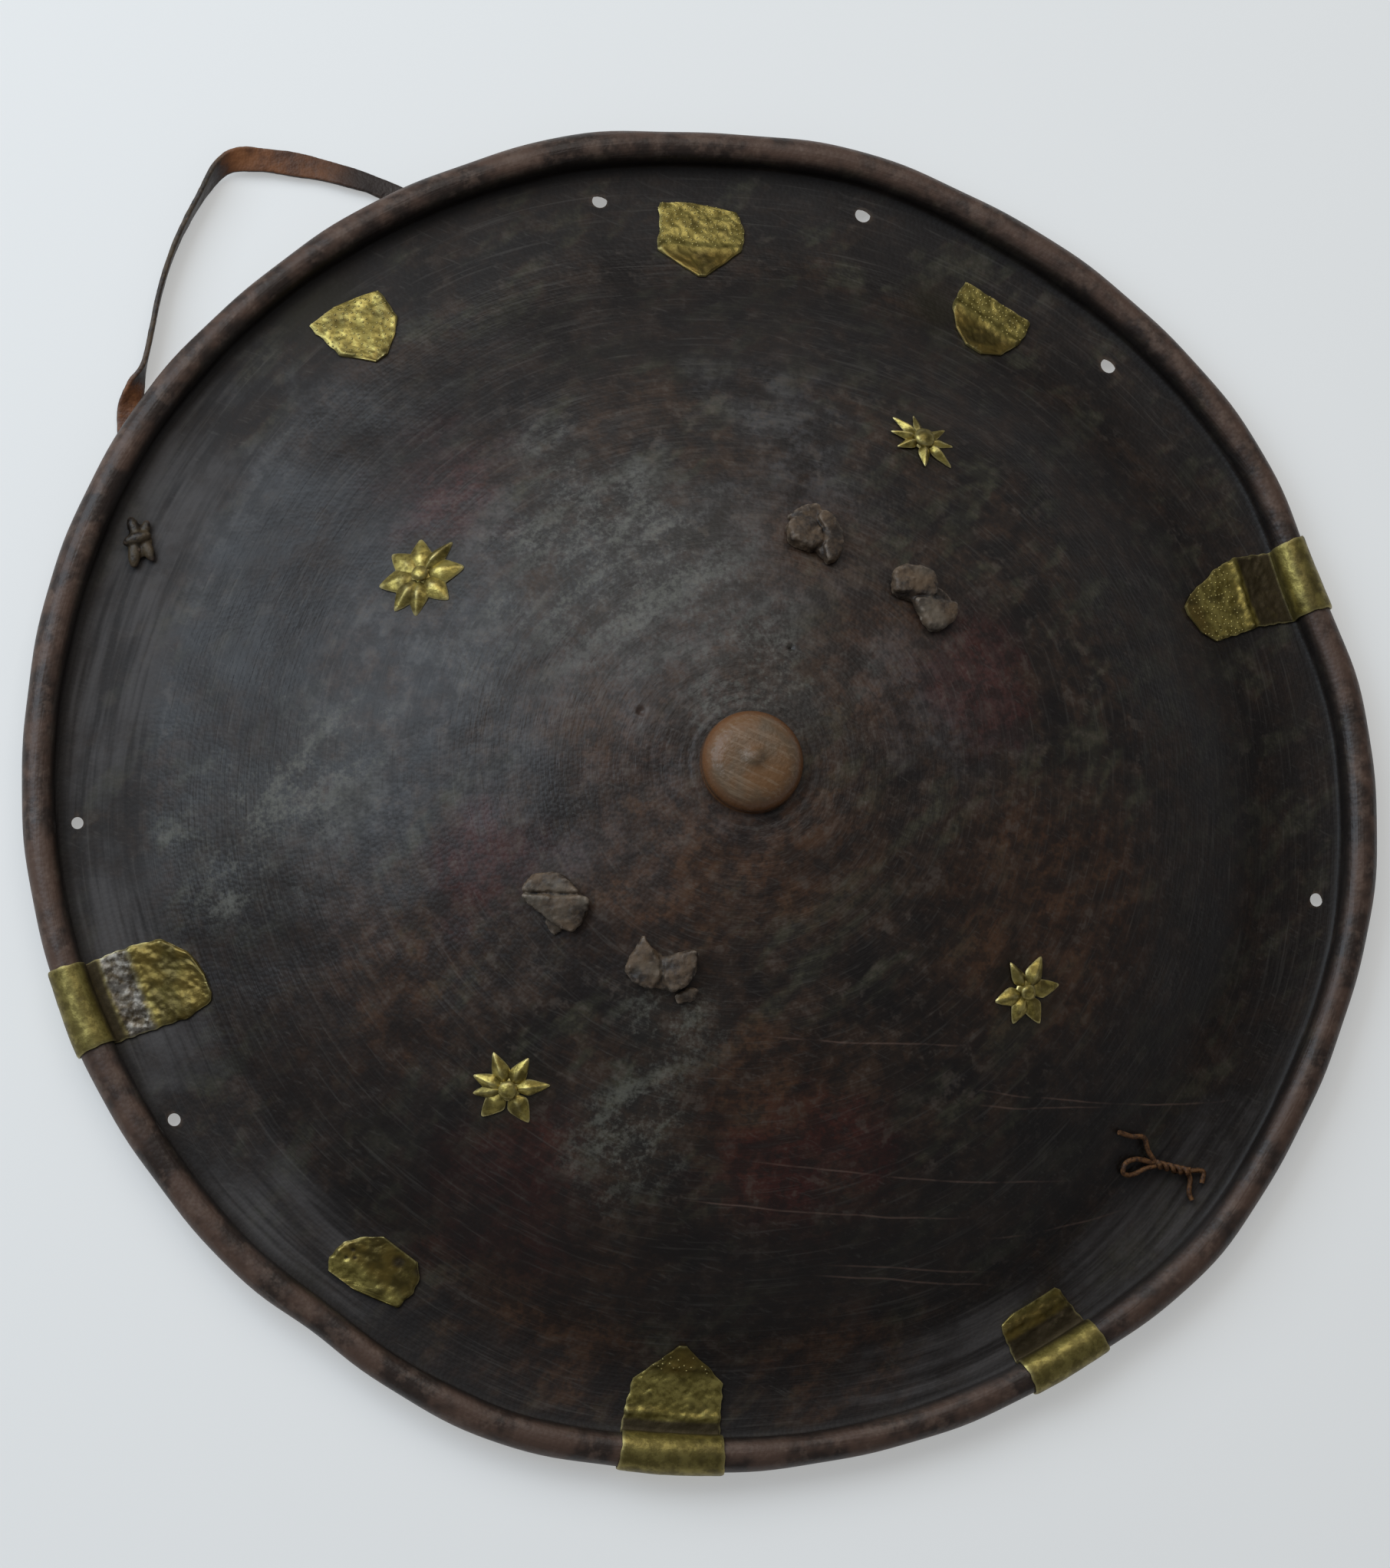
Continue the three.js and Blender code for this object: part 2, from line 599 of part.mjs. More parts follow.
// Each petal gives three points of the outline, then the valley before the next.
function petalOutline(petals, i) {
  const [bearing, length] = petals[i];
  const next = i === petals.length - 1 ? petals[0][0] + 360 : petals[i + 1][0];
  const half = Math.min(STAR.halfWidth, (next - bearing) * STAR.widthPerDegree);
  const belly = length * STAR.widestAt;
  return [
    fromHub(belly, bearing, -half), fromHub(length, bearing),
    fromHub(belly, bearing, half), fromHub(STAR.hub, (bearing + next) / 2),
  ];
}

function star(name) {
  const { at, petals } = STARS[name];
  const outline = petals.flatMap((_, i) => petalOutline(petals, i));
  const crests = petals.map(([bearing, length]) => fromHub(length * STAR.widestAt, bearing));
  const points = [
    ...outline.map((p) => onDome(p, 0)), ...outline.map((p) => onDome(p, STAR.sheet)),
    ...crests.map((p) => onDome(p, STAR.ridge)), onDome([0, 0], STAR.hubHeight), onDome([0, 0], 0),
  ];
  const leaf = solidFrom(points, starFaces(petals.length)).applyMatrix4(frameAt(...at));
  const hole = punch(frameAt(...at), RIVET.shank + CLEAR);
  return toManifold(leaf).subtract(toManifold(hole));
}

// Points in order: lower outline, upper outline, crests, top of the hub, its underside.
function starFaces(count) {
  const size = 4 * count;
  const top = 2 * size + count;
  const faces = [];
  for (let i = 0; i < size; i += 1) {
    const j = (i + 1) % size;
    const crest = 2 * size + Math.floor(i / 4);
    const nextCrest = 2 * size + ((Math.floor(i / 4) + 1) % count);
    const [edge, edgeNext] = [size + i, size + j];
    faces.push([top + 1, j, i], [i, j, edgeNext], [i, edgeNext, edge]);
    if (i % 4 < 3) faces.push([edge, edgeNext, crest]);
    if (i % 4 === 2) faces.push([crest, edgeNext, top]);
    if (i % 4 === 3) faces.push([edge, edgeNext, nextCrest], [edge, nextCrest, top]);
  }
  return faces;
}

function rivet(name) {
  const { shank, head, crown, clench } = RIVET;
  const top = SEAT + STAR.hubHeight + RIVET.clearOfStar;
  const under = -HIDE - RIVET.clearOfHide;
  const section = [
    [0, under - 1.6], [2, under - 1.4], [clench, under], [shank, under],
    [shank, top], [head, top], [head * 0.75, top + crown * 0.75], [0, top + crown],
  ];
  const profile = section.map(([x, y]) => new THREE.Vector2(x, y));
  const turned = new THREE.LatheGeometry(profile, RIVET.sides);
  turned.rotateX(Math.PI / 2);
  return turned.applyMatrix4(frameAt(...STARS[name].at));
}

// ---------------------------------------------------------------- materials
const finish = (color, roughness, metalness = 0) =>
  new THREE.MeshStandardMaterial({ color, roughness, metalness, flatShading: true });
const hideFinish = finish("#3b332f", 0.5);
const gripFinish = finish("#4a3d35", 0.7);
const thongFinish = finish("#6e3e24", 0.65);
const ironFinish = finish("#7a431e", 0.85, 0.4);
const plateFinish = finish("#8f7a34", 0.4, 0.9);
const starFinish = finish("#a08b3c", 0.35, 0.9);

// ----------------------------------------------------------------- assembly
function cutDisc() {
  const tools = LACE_HOLES.map((at) => punch(frameAt(...at), LACE_HOLE_RADIUS));
  tools.push(punch(frameAt(...KNOT.at), 2.4));
  for (const at of WIRE.holes) tools.push(punch(frameAt(...at), WIRE.holeRadius, 6));
  for (const { at } of Object.values(STARS)) tools.push(punch(frameAt(...at), RIVET.shank + CLEAR));
  for (const { at } of Object.values(TOGGLES)) {
    tools.push(slot(frameAt(...at), GRIP.neck[0] + 1, GRIP.neck[1] + 1, gripTurn()));
  }
  return tools.map(toManifold).reduce((disc, tool) => disc.subtract(tool), toManifold(hideDisc()));
}

const shield = new THREE.Group();

function addPiece(name, geometry, material) {
  const piece = new THREE.Mesh(geometry, material);
  piece.name = name;
  shield.add(piece);
}

addPiece("hide_disc", fromManifold(cutDisc()), hideFinish);
addPiece("grip_strap_left", fromManifold(grip("lower_left", "upper_left")), gripFinish);
addPiece("grip_strap_right", fromManifold(grip("lower_right", "upper_right")), gripFinish);
addPiece("carrying_loop", fromManifold(carryingLoop()), thongFinish);
addPiece("wire_tie", fromManifold(wireTie()), ironFinish);
for (const name of Object.keys(PLATES)) addPiece(name, plate(name), plateFinish);
for (const name of Object.keys(STARS)) {
  addPiece(name, fromManifold(star(name)), starFinish);
  addPiece(name.replace("star", "rivet"), rivet(name), starFinish);
}

export default shield;
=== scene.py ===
import math

import bpy
import numpy as np
from mathutils import Matrix, Vector, noise


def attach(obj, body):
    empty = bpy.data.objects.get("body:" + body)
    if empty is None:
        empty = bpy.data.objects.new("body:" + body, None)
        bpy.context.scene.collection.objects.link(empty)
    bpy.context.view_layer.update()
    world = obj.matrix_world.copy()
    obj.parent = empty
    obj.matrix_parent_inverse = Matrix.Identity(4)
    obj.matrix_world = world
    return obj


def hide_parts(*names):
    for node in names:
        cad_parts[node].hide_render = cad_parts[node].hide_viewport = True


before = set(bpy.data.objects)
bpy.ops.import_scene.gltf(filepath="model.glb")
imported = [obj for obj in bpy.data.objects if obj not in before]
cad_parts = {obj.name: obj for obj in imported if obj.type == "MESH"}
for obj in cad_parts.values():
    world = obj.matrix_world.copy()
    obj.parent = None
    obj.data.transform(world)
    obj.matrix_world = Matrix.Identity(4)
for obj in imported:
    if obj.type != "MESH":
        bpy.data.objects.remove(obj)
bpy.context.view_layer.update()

# =============================================================== THE HIDE DISC
# One disc of thick hide, soaked, beaten over a form into a low dome and dried
# hard. The boss is turned up from the same hide, and the edge is rolled back on
# itself into a bead. The face is blackened, polished, and worn brown at the rim.
MM = 0.001
HIDE_THICKNESS = 4.8
BEAD_RADIUS, BEAD_HEIGHT, BEAD_ROLL = 244.0, 10.6, 6.0
RIM_CENTRE = (-0.11, 0.52)
DOME_SHIFT = (4.4, -7.7)
LIFT_AT, LIFT_RISE, LIFT_REACH = 130, 5.0, 62
# How far out the dome's shift fades away, and where the rim's dents and its lift grow.
SHIFT_FADE, DENT_GROWTH, LIFT_GROWTH = (170, 238), (150, 244), (150, 225)

# Outer face of the dome: distance from the boss and height, in millimetres.
DOME = np.array([
    (0, 86), (20, 85.4), (60, 80), (100, 69.5), (140, 53.5), (160, 42.8),
    (180, 30), (200, 17.2), (212, 11), (222, 7.4), (230, 5.6), (235, 5.2)])
# The turned boss: radius and height above the top of the dome.
BOSS = [
    (0, 12.0), (1.0, 11.9), (2.0, 11.5), (2.9, 10.7), (3.9, 10.15), (6, 9.95), (9, 9.75),
    (11.5, 9.35), (13.5, 8.7), (15.2, 7.6), (16.6, 6.1), (17.6, 4.5), (18.15, 3.0),
    (18.2, 1.6), (17.8, 0.5), (17.2, -0.25), (17.4, -0.62), (18.4, -0.68)]
# Bulges and flats in the outline of the rim: bearing, size, spread.
RIM_DENTS = [
    (20, -4.6, 8), (76, 2.6, 9), (102, 1.2, 6), (150, 1, 12), (214, -1.4, 18),
    (234.5, -2, 5), (253, 2.2, 8), (318, 2.5, 9), (350, 0.9, 8)]
# Low hollows and swellings left by the mallet: size, wave, direction, phase.
BEATING = [
    (0.34, 17, 20, 0.3), (0.27, 13, 75, 1.7), (0.22, 9.5, 130, 4.1),
    (0.15, 6.5, 50, 2.2), (0.1, 4.6, 165, 5.0), (0.07, 3.3, 100, 3.3)]
# Fine grooves turned round the boss: distance out, depth, width.
TURNED_GROOVES = [
    (22.4, 0.24, 1.0), (26.2, 0.1, 0.9), (30.5, 0.06, 0.9), (35.4, 0.13, 1.1),
    (42, 0.09, 1.1), (49, 0.05, 1.4)]
# Pits of old nails: distance out, bearing, radius, depth.
NAIL_PITS = [(45.7, 70.9, 1.1, 1.3), (42.8, 154.9, 1.3, 1.4), (147, 176, 0.8, 0.6), (203, 96, 0.8, 0.6)]
# Punched holes for a lost lining: distance out, bearing, radius.
LACE_HOLES = [
    (225.9, 100.5, 2.8), (228, 75.2, 2.9), (226.7, 47.8, 2.9),
    (230.2, 184.8, 2.2), (231.5, 213.3, 2.3), (229.8, 351.2, 2.5)]


def turn_from(at, other):
    return (at - other + 180) % 360 - 180


def rise(value, low, high):
    share = np.clip((value - low) / (high - low), 0, 1)
    return share * share * (3 - 2 * share)


def dome_height(out):
    """Height of the outer face, a smooth curve through the points of DOME."""
    far, high = DOME[:, 0], DOME[:, 1]
    slope = np.gradient(high, far)
    slope[1:-1] = (high[2:] - high[:-2]) / (far[2:] - far[:-2])
    slope[0] = 0
    i = np.clip(np.searchsorted(far, out) - 1, 0, len(far) - 2)
    step = far[i + 1] - far[i]
    t = (out - far[i]) / step
    ease = t * t * (3 - 2 * t)
    bend = t * (1 - t) * ((1 - t) * slope[i] - t * slope[i + 1]) * step
    return high[i] + (high[i + 1] - high[i]) * ease + bend


def rim_dent(at):
    return sum(size * np.exp(-(turn_from(at, where) / spread) ** 2) for where, size, spread in RIM_DENTS)


def rim_lift(at):
    share = np.minimum(np.abs(turn_from(at, LIFT_AT)) / LIFT_REACH, 1)
    return LIFT_RISE * np.cos(share * np.pi / 2) ** 2


def place(out, height, at):
    """Points of the shield, in metres, from distance out, height and bearing."""
    out, height, at = np.broadcast_arrays(*(np.asarray(v, float) for v in (out, height, at)))
    shift = 1 - rise(out, *SHIFT_FADE)
    reach = out + rim_dent(at) * rise(out, *DENT_GROWTH)
    turn = np.radians(at)
    x = RIM_CENTRE[0] + DOME_SHIFT[0] * shift + reach * np.cos(turn)
    y = RIM_CENTRE[1] + DOME_SHIFT[1] * shift + reach * np.sin(turn)
    z = height + rim_lift(at) * rise(out, *LIFT_GROWTH)
    return np.stack([x, y, z], -1) * MM


def relief(out, at):
    """How far the worked face stands off the smooth dome, in millimetres."""
    out, at = np.broadcast_arrays(np.asarray(out, float), np.asarray(at, float))
    x, y = out * np.cos(np.radians(at)), out * np.sin(np.radians(at))
    swell = np.zeros_like(x)
    for size, wave, turn, phase in BEATING:
        c, s = math.cos(math.radians(turn)), math.sin(math.radians(turn))
        along, across = (x * c + y * s) / wave, (y * c - x * s) / (1.4 * wave)
        swell += size * np.sin(along + phase + 0.9 * np.sin(across + 2 * phase))
    swell *= rise(out, 20, 34) * (1 - 0.6 * rise(out, 222, 236))
    for groove, depth, width in TURNED_GROOVES:
        swell -= depth * np.exp(-((out - groove) / width) ** 2)
    for pit_out, pit_at, radius, depth in NAIL_PITS:
        px, py = pit_out * math.cos(math.radians(pit_at)), pit_out * math.sin(math.radians(pit_at))
        far = np.hypot(x - px, y - py) / radius
        swell -= depth * np.exp(-far ** 2) - 0.25 * np.exp(-(far - 1.7) ** 2 * 4)
    return swell


def bead_line():
    """Section of the rolled rim, from the groove beside it round to the underside."""
    groove = [(235.0, 5.2), (236.4, 5.3), (237.5, 5.75), (238.2, 6.7), (238.25, 7.8)]
    turns = np.radians(np.arange(198, -66, -9))
    roll = [(BEAD_RADIUS + BEAD_ROLL * math.cos(a), BEAD_HEIGHT + BEAD_ROLL * math.sin(a)) for a in turns]
    return groove + roll + [(243.6, 3.0), (241, 2.0), (238.5, 0.7)]


def face_line():
    """The outer face from beside the boss to the underside of the rim."""
    far = np.concatenate([np.arange(20, 52, 0.8), np.arange(52, 226, 1.9), np.arange(226, 234.6, 1.4)])
    return np.array([(u, float(dome_height(u))) for u in far] + bead_line())


def outward(line):
    """Unit normals of a section that runs outwards with the hide beneath it."""
    along = np.gradient(line, axis=0)
    across = np.stack([-along[:, 1], along[:, 0]], -1)
    return across / np.linalg.norm(across, axis=1, keepdims=True)


def bead_wobble(out, at):
    """The roll is a little thicker and thinner along its length."""
    along = np.radians(at)
    size = 0.35 * np.sin(7 * along + 1) + 0.22 * np.sin(17 * along + 3) + 0.13 * np.sin(41 * along)
    return size * rise(out, 236, 240)


def skin(line, at, above=0.0):
    """Rows of points on the worked outer face, in metres, one row for each point of the section."""
    line = np.asarray(line, float)
    away = outward(line)
    out, high = line[:, :1], line[:, 1:]
    lift = relief(out, at) * (1 - rise(out, 235, 238)) + bead_wobble(out, at) + above
    return place(out + away[:, :1] * lift, high + away[:, 1:] * lift, np.broadcast_to(at, lift.shape))


def inner_line():
    """The underside, from the flat that the shield rests on up to the top of the hollow."""
    far = np.concatenate([np.arange(224, 60, -4.0), np.arange(60, 4, -5.0)])
    slope = (dome_height(far + 1) - dome_height(far - 1)) / 2
    drop = HIDE_THICKNESS / np.hypot(slope, 1)
    inside = np.stack([far + slope * drop, dome_height(far) - drop], -1)
    over_flat = inside[:, 1] > 0.8
    return np.concatenate([[(235, 0), (232, 0), (229, 0), (227, 0)], inside[over_flat]])


def closed_skin(rings, first_tip=None, last_tip=None):
    """Points and faces of a closed body over rings of equal count, with a tip or a middle at each end."""
    first_tip = rings[0].mean(0) if first_tip is None else first_tip
    last_tip = rings[-1].mean(0) if last_tip is None else last_tip
    around = rings[0].shape[0]
    points = np.concatenate([[first_tip], *rings, [last_tip]])
    faces = [(0, 1 + i, 1 + (i + 1) % around) for i in range(around)]
    for k in range(len(rings) - 1):
        here, there = 1 + k * around, 1 + (k + 1) * around
        for i in range(around):
            after = (i + 1) % around
            faces.append((here + i, there + i, there + after, here + after))
    last, base = len(points) - 1, 1 + (len(rings) - 1) * around
    faces += [(last, base + (i + 1) % around, base + i) for i in range(around)]
    return points, faces


def new_piece(name, points, faces, edges=()):
    mesh = bpy.data.meshes.new(name)
    mesh.from_pydata([tuple(p) for p in points], list(edges), faces)
    mesh.validate()
    piece = bpy.data.objects.new(name, mesh)
    bpy.context.collection.objects.link(piece)
    return piece


def settle(piece):
    """Keeps what a piece's modifiers make as its plain mesh, and drops the modifiers."""
    view = bpy.context.evaluated_depsgraph_get()
    made = bpy.data.meshes.new_from_object(piece.evaluated_get(view), depsgraph=view)
    piece.modifiers.clear()
    piece.data = made
    made.name = piece.name
    return piece


def round_off(piece, crease=42):
    piece.data.shade_smooth()
    piece.data.set_sharp_from_angle(angle=math.radians(crease))
    return piece


def seat(out, at, above=0.0):
    """Frame on the worked face: x to the right, y to the top, z out of the hide."""
    here = Vector(place(out, float(dome_height(np.float64(out))) + float(relief(out, at)), at))
    ahead = Vector(place(out + 2, float(dome_height(np.float64(out + 2))), at))
    back = Vector(place(out - 2, float(dome_height(np.float64(out - 2))), at))
    left = Vector(place(out, float(dome_height(np.float64(out))), at + 0.5))
    right = Vector(place(out, float(dome_height(np.float64(out))), at - 0.5))
    normal = (ahead - back).cross(left - right).normalized()
    side = (Vector((1, 0, 0)) - normal * normal.x).normalized()
    top = normal.cross(side)
    turn = Matrix((side, top, normal)).transposed().to_4x4()
    return Matrix.Translation(here + normal * above * MM) @ turn


def punch(frame_here, radius, sides=20, foot=-13.0, top=13.0, flare=0.0):
    """Points and faces of a punch through the hide, square to its face, wider below by its flare."""
    points, faces = [], []
    for end in (foot, top):
        reach = radius - flare * end
        turns = [2 * math.pi * i / sides for i in range(sides)]
        points += [frame_here @ (Vector((reach * math.cos(a), reach * math.sin(a), end)) * MM) for a in turns]
    faces += [(i, (i + 1) % sides, sides + (i + 1) % sides, sides + i) for i in range(sides)]
    faces += [tuple(reversed(range(sides))), tuple(range(sides, 2 * sides))]
    return points, faces


def slot_punch(frame_here, length, width, turn, foot=-13, top=13):
    """Points and faces of a slot through the hide, square to its face, its length turned by the turn."""
    c, s = math.cos(turn), math.sin(turn)
    corners = [(x * length / 2, y * width / 2) for x, y in ((-1, -1), (1, -1), (1, 1), (-1, 1))]
    points = [frame_here @ Vector(((x * c - y * s) * MM, (x * s + y * c) * MM, end * MM))
              for end in (foot, top) for x, y in corners]
    faces = [(0, 1, 5, 4), (1, 2, 6, 5), (2, 3, 7, 6), (3, 0, 4, 7), (3, 2, 1, 0), (4, 5, 6, 7)]
    return points, faces


AROUND = 336
bearings = np.arange(AROUND) * 360.0 / AROUND
top_of_dome = float(DOME[0, 1])
boss_rings = [place(radius, top_of_dome + high, bearings) for radius, high in BOSS[1:]]
face_rings = list(skin(face_line(), bearings[None, :]))
inner_rings = [place(u, z, bearings) for u, z in inner_line()]
tip = place(0, top_of_dome + BOSS[0][1], 0)
crown = place(0, top_of_dome - HIDE_THICKNESS, 0)
points, faces = closed_skin(boss_rings + face_rings + inner_rings, tip, crown)
hide_shell = new_piece("hide_shell", points, faces)

# The holes. Those of the lost lining are torn wider underneath; the others hold the
# carrying loop, the wire, the rivets and the grips.
HOLE_FLARE, HOLE_SIDES, HOLE_FOOT, HOLE_TOP = 0.42, 20, -9, 4
LACE_AT, LACE_RADIUS = (226.2, 157.9), 2.4
WIRE_HOLE_RADIUS, RIVET_HOLE_RADIUS, SMALL_HOLE_SIDES = 1.4, 1.65, 12
SLOT_LENGTH, SLOT_WIDTH = 10, 5.4
WIRE_HOLES = [(203.4, 320), (217, 321.4)]
STAR_PLACES = {
    "star_upper_left": (135.1, 148), "star_upper_right": (147, 62.1),
    "star_lower_left": (139.3, 234.1), "star_lower_right": (127, 324)}
TOGGLE_PLACES = {
    "upper_left": (91.1, 73.3), "upper_right": (92.8, 45.9),
    "lower_left": (83.4, 216), "lower_right": (78.6, 247.5)}
low_end, high_end = (place(TOGGLE_PLACES[k][0], 0, TOGGLE_PLACES[k][1]) for k in ("lower_left", "upper_left"))
GRIP_TURN = math.atan2(high_end[1] - low_end[1], high_end[0] - low_end[0]) + math.pi / 2
cuts = [punch(seat(out, at), radius, HOLE_SIDES, HOLE_FOOT, HOLE_TOP, HOLE_FLARE)
        for out, at, radius in LACE_HOLES]
cuts.append(punch(seat(*LACE_AT), LACE_RADIUS))
cuts += [punch(seat(*hole), WIRE_HOLE_RADIUS, SMALL_HOLE_SIDES) for hole in WIRE_HOLES]
cuts += [punch(seat(*hole), RIVET_HOLE_RADIUS, SMALL_HOLE_SIDES) for hole in STAR_PLACES.values()]
cuts += [slot_punch(seat(*hole), SLOT_LENGTH, SLOT_WIDTH, GRIP_TURN) for hole in TOGGLE_PLACES.values()]
points, faces = [], []
for cut_points, cut_faces in cuts:
    faces += [tuple(len(points) + i for i in face) for face in cut_faces]
    points += cut_points
punches = new_piece("punches", points, faces)
drill = hide_shell.modifiers.new("holes", "BOOLEAN")
drill.operation, drill.solver, drill.object = "DIFFERENCE", "EXACT", punches
settle(hide_shell)
bpy.data.objects.remove(punches)
round_off(hide_shell, 50)


def keep(piece, name, values, kind="FLOAT", field="value"):
    """Stores a number or a vector on every point, for a material or a tree to read."""
    piece.data.attributes.new(name, kind, "POINT").data.foreach_set(field, values)


# Every point keeps its distance out and whether it is on the hollow side.
spots = np.empty(len(hide_shell.data.vertices) * 3)
hide_shell.data.vertices.foreach_get("co", spots)
x, y, z = (spots.reshape(-1, 3) / MM).T
out = np.hypot(x, y)
for _ in range(12):
    shift = 1 - rise(out, *SHIFT_FADE)
    px, py = x - RIM_CENTRE[0] - DOME_SHIFT[0] * shift, y - RIM_CENTRE[1] - DOME_SHIFT[1] * shift
    at = np.degrees(np.arctan2(py, px))
    out = np.hypot(px, py) - rim_dent(at) * rise(out, *DENT_GROWTH)
depth = dome_height(np.clip(out, 0, 235)) + rim_lift(at) * rise(out, *LIFT_GROWTH) - z
keep(hide_shell, "out", out * MM)
keep(hide_shell, "hollow", ((depth > 1.6) & (out < 236)).astype(float))

# Centre and reach of each patch of colour on the face, in millimetres. Every point
# keeps how far it is from the nearest one, as a share of its reach.
PATCHES = {
    "bloom": [
        (-32, 64, 76), (-110, 66, 84), (-165, 112, 60), (-130, 0, 70), (-80, -20, 40), (20, 110, 50),
        (76, 16, 30)],
    "rust": [
        (-44, 2, 34), (-30, -44, 40), (26, 79, 30), (124, -52, 50), (104, -72, 34), (-62, -196, 46),
        (48, -206, 40), (-120, -88, 42), (12, -118, 30), (40, -121, 24), (52, 30, 34), (14, -24, 44),
        (-10, 28, 26)],
    "oxblood": [
        (18, -150, 28), (46, -141, 28), (-76, -151, 30), (-90, -40, 26), (88, 24, 22), (-100, 100, 26)],
    "dust": [(-172, -22, 36), (-150, -6, 32), (-36, -136, 24), (-22, -98, 22), (-44, 74, 52), (8, 22, 30)],
    "rim_bloom": [
        (-222, 34, 56), (-196, 112, 46), (-212, -70, 50), (-150, -170, 40), (168, -158, 56), (104, -208, 46)],
    "stain": [
        (-110.3, 64.4, 17), (73.1, 122.7, 13), (-77.4, -120, 16), (107, -81.8, 15), (-148, 178, 22),
        (84, 186, 14), (-150, -190, 15)],
}
for name, places in PATCHES.items():
    shares = [np.hypot(x - px, y - py) / reach for px, py, reach in places]
    keep(hide_shell, "far_from_" + name, np.min(shares, axis=0))


class Wiring:
    """Adds nodes to one tree and joins them, so that a tree reads like a recipe."""

    def __init__(self, tree):
        self.tree = tree

    def feed(self, socket, value):
        if isinstance(value, bpy.types.Node):
            value = value.outputs[0]
        if isinstance(value, bpy.types.NodeSocket):
            self.tree.links.new(value, socket)
        elif value is not None:
            socket.default_value = value

    def add(self, kind, *feeds, named=None, **settings):
        node = self.tree.nodes.new(kind)
        for name, value in settings.items():
            setattr(node, name, value)
        for socket, value in zip(node.inputs, feeds):
            self.feed(socket, value)
        for name, value in (named or {}).items():
            self.feed(node.inputs[name], value)
        return node

    def math(self, operation, *values):
        return self.add("ShaderNodeMath", *values, operation=operation).outputs[0]

    def plus(self, first, second):
        return self.math("ADD", first, second)

    def times(self, product, *values):
        for value in values:
            product = self.math("MULTIPLY", product, value)
        return product

    def swing(self, value, size):
        """A noise value, which lies round a half, as a shift either way."""
        return self.times(self.math("SUBTRACT", value, 0.5), size)

    def vector(self, operation, *values):
        node = self.add("ShaderNodeVectorMath", *values, operation=operation)
        return node.outputs[1 if operation == "LENGTH" else 0]

    def noise(self, at, scale, detail=2.0, rough=0.5):
        return self.add("ShaderNodeTexNoise", named={
            "Vector": at, "Scale": scale, "Detail": detail, "Roughness": rough}).outputs[0]

    def step(self, value, low, high, first=0.0, last=1.0):
        """From the first to the last number, eased, as the value goes from low to high."""
        node = self.add("ShaderNodeMapRange", value, low, high, first, last, interpolation_type="SMOOTHSTEP")
        return node.outputs[0]

    def either(self, share, first, second):
        """The first number or the second, mixed by the share."""
        node = self.add("ShaderNodeMix", data_type="FLOAT")
        for index, value in ((0, share), (2, first), (3, second)):
            self.feed(node.inputs[index], value)
        return node.outputs[0]

    def blend(self, share, first, second):
        """The first colour or the second, mixed by the share."""
        node = self.add("ShaderNodeMix", data_type="RGBA")
        for index, value in ((0, share), (6, first), (7, second)):
            self.feed(node.inputs[index], value)
        return node.outputs[2]

    def layers(self, colour, *layers):
        """The colour with tones laid over it in turn, each as strongly as its masks together."""
        for tone, *masks in layers:
            colour = self.blend(self.times(*masks), colour, tone)
        return colour

    def bump(self, height, distance, strength):
        return self.add("ShaderNodeBump", named={
            "Height": height, "Distance": distance, "Strength": strength})

    def use(self, tree, **values):
        """An effect put to use with its own values."""
        node = self.tree.nodes.new("ShaderNodeGroup")
        node.node_tree = tree
        for name, value in values.items():
            self.feed(node.inputs[name], value)
        return node

    def mark(self, name):
        """A number kept on the points."""
        return self.add("ShaderNodeAttribute", attribute_name=name).outputs["Fac"]


def effect(name, inputs, outputs):
    """An empty shader group with named sockets: its wiring, its input node and its output node."""
    tree = bpy.data.node_groups.new(name, "ShaderNodeTree")
    for label, kind, value in inputs:
        tree.interface.new_socket(label, in_out="INPUT", socket_type=kind).default_value = value
    for label, kind in outputs:
        tree.interface.new_socket(label, in_out="OUTPUT", socket_type=kind)
    wiring = Wiring(tree)
    return wiring, wiring.add("NodeGroupInput").outputs, wiring.add("NodeGroupOutput").inputs


NUMBER, ARROW = "NodeSocketFloat", "NodeSocketVector"

# A patch of wear, stain or dust, from how far off its middle is, as a share of its reach;
# Torn shifts its edge in and out.
w, given, result = effect(
    "Worn Patch",
    [("Far", NUMBER, 0.0), ("Torn", NUMBER, 0.0), ("Strength", NUMBER, 1.0)],
    [("Mask", NUMBER)])
w.feed(result["Mask"], w.times(w.step(w.plus(given["Far"], given["Torn"]), 1.25, 0.2), given["Strength"]))
worn_patch = w.tree

# One long hairline scratch, an arc about a far centre between two values of x.
w, given, result = effect(
    "Hairline",
    [("Position", ARROW, (0, 0, 0)), ("Centre", ARROW, (0, 0, 0)), ("Radius", NUMBER, 1.0),
     ("From", NUMBER, 0.0), ("To", NUMBER, 0.1), ("Width", NUMBER, 0.0004), ("Wander", NUMBER, 0.0)],
    [("Mask", NUMBER)])
away = w.vector("MULTIPLY", w.vector("SUBTRACT", given["Position"], given["Centre"]), (1, 1, 0))
reach = w.plus(w.vector("LENGTH", away), given["Wander"])
line = w.step(w.math("ABSOLUTE", w.math("SUBTRACT", reach, given["Radius"])), given["Width"], 0.0)
x_here = w.add("ShaderNodeSeparateXYZ", given["Position"]).outputs[0]
begun = w.step(x_here, given["From"], w.plus(given["From"], 0.02))
ended = w.step(x_here, given["To"], w.math("SUBTRACT", given["To"], 0.03))
w.feed(result["Mask"], w.times(line, begun, ended))
hairline = w.tree

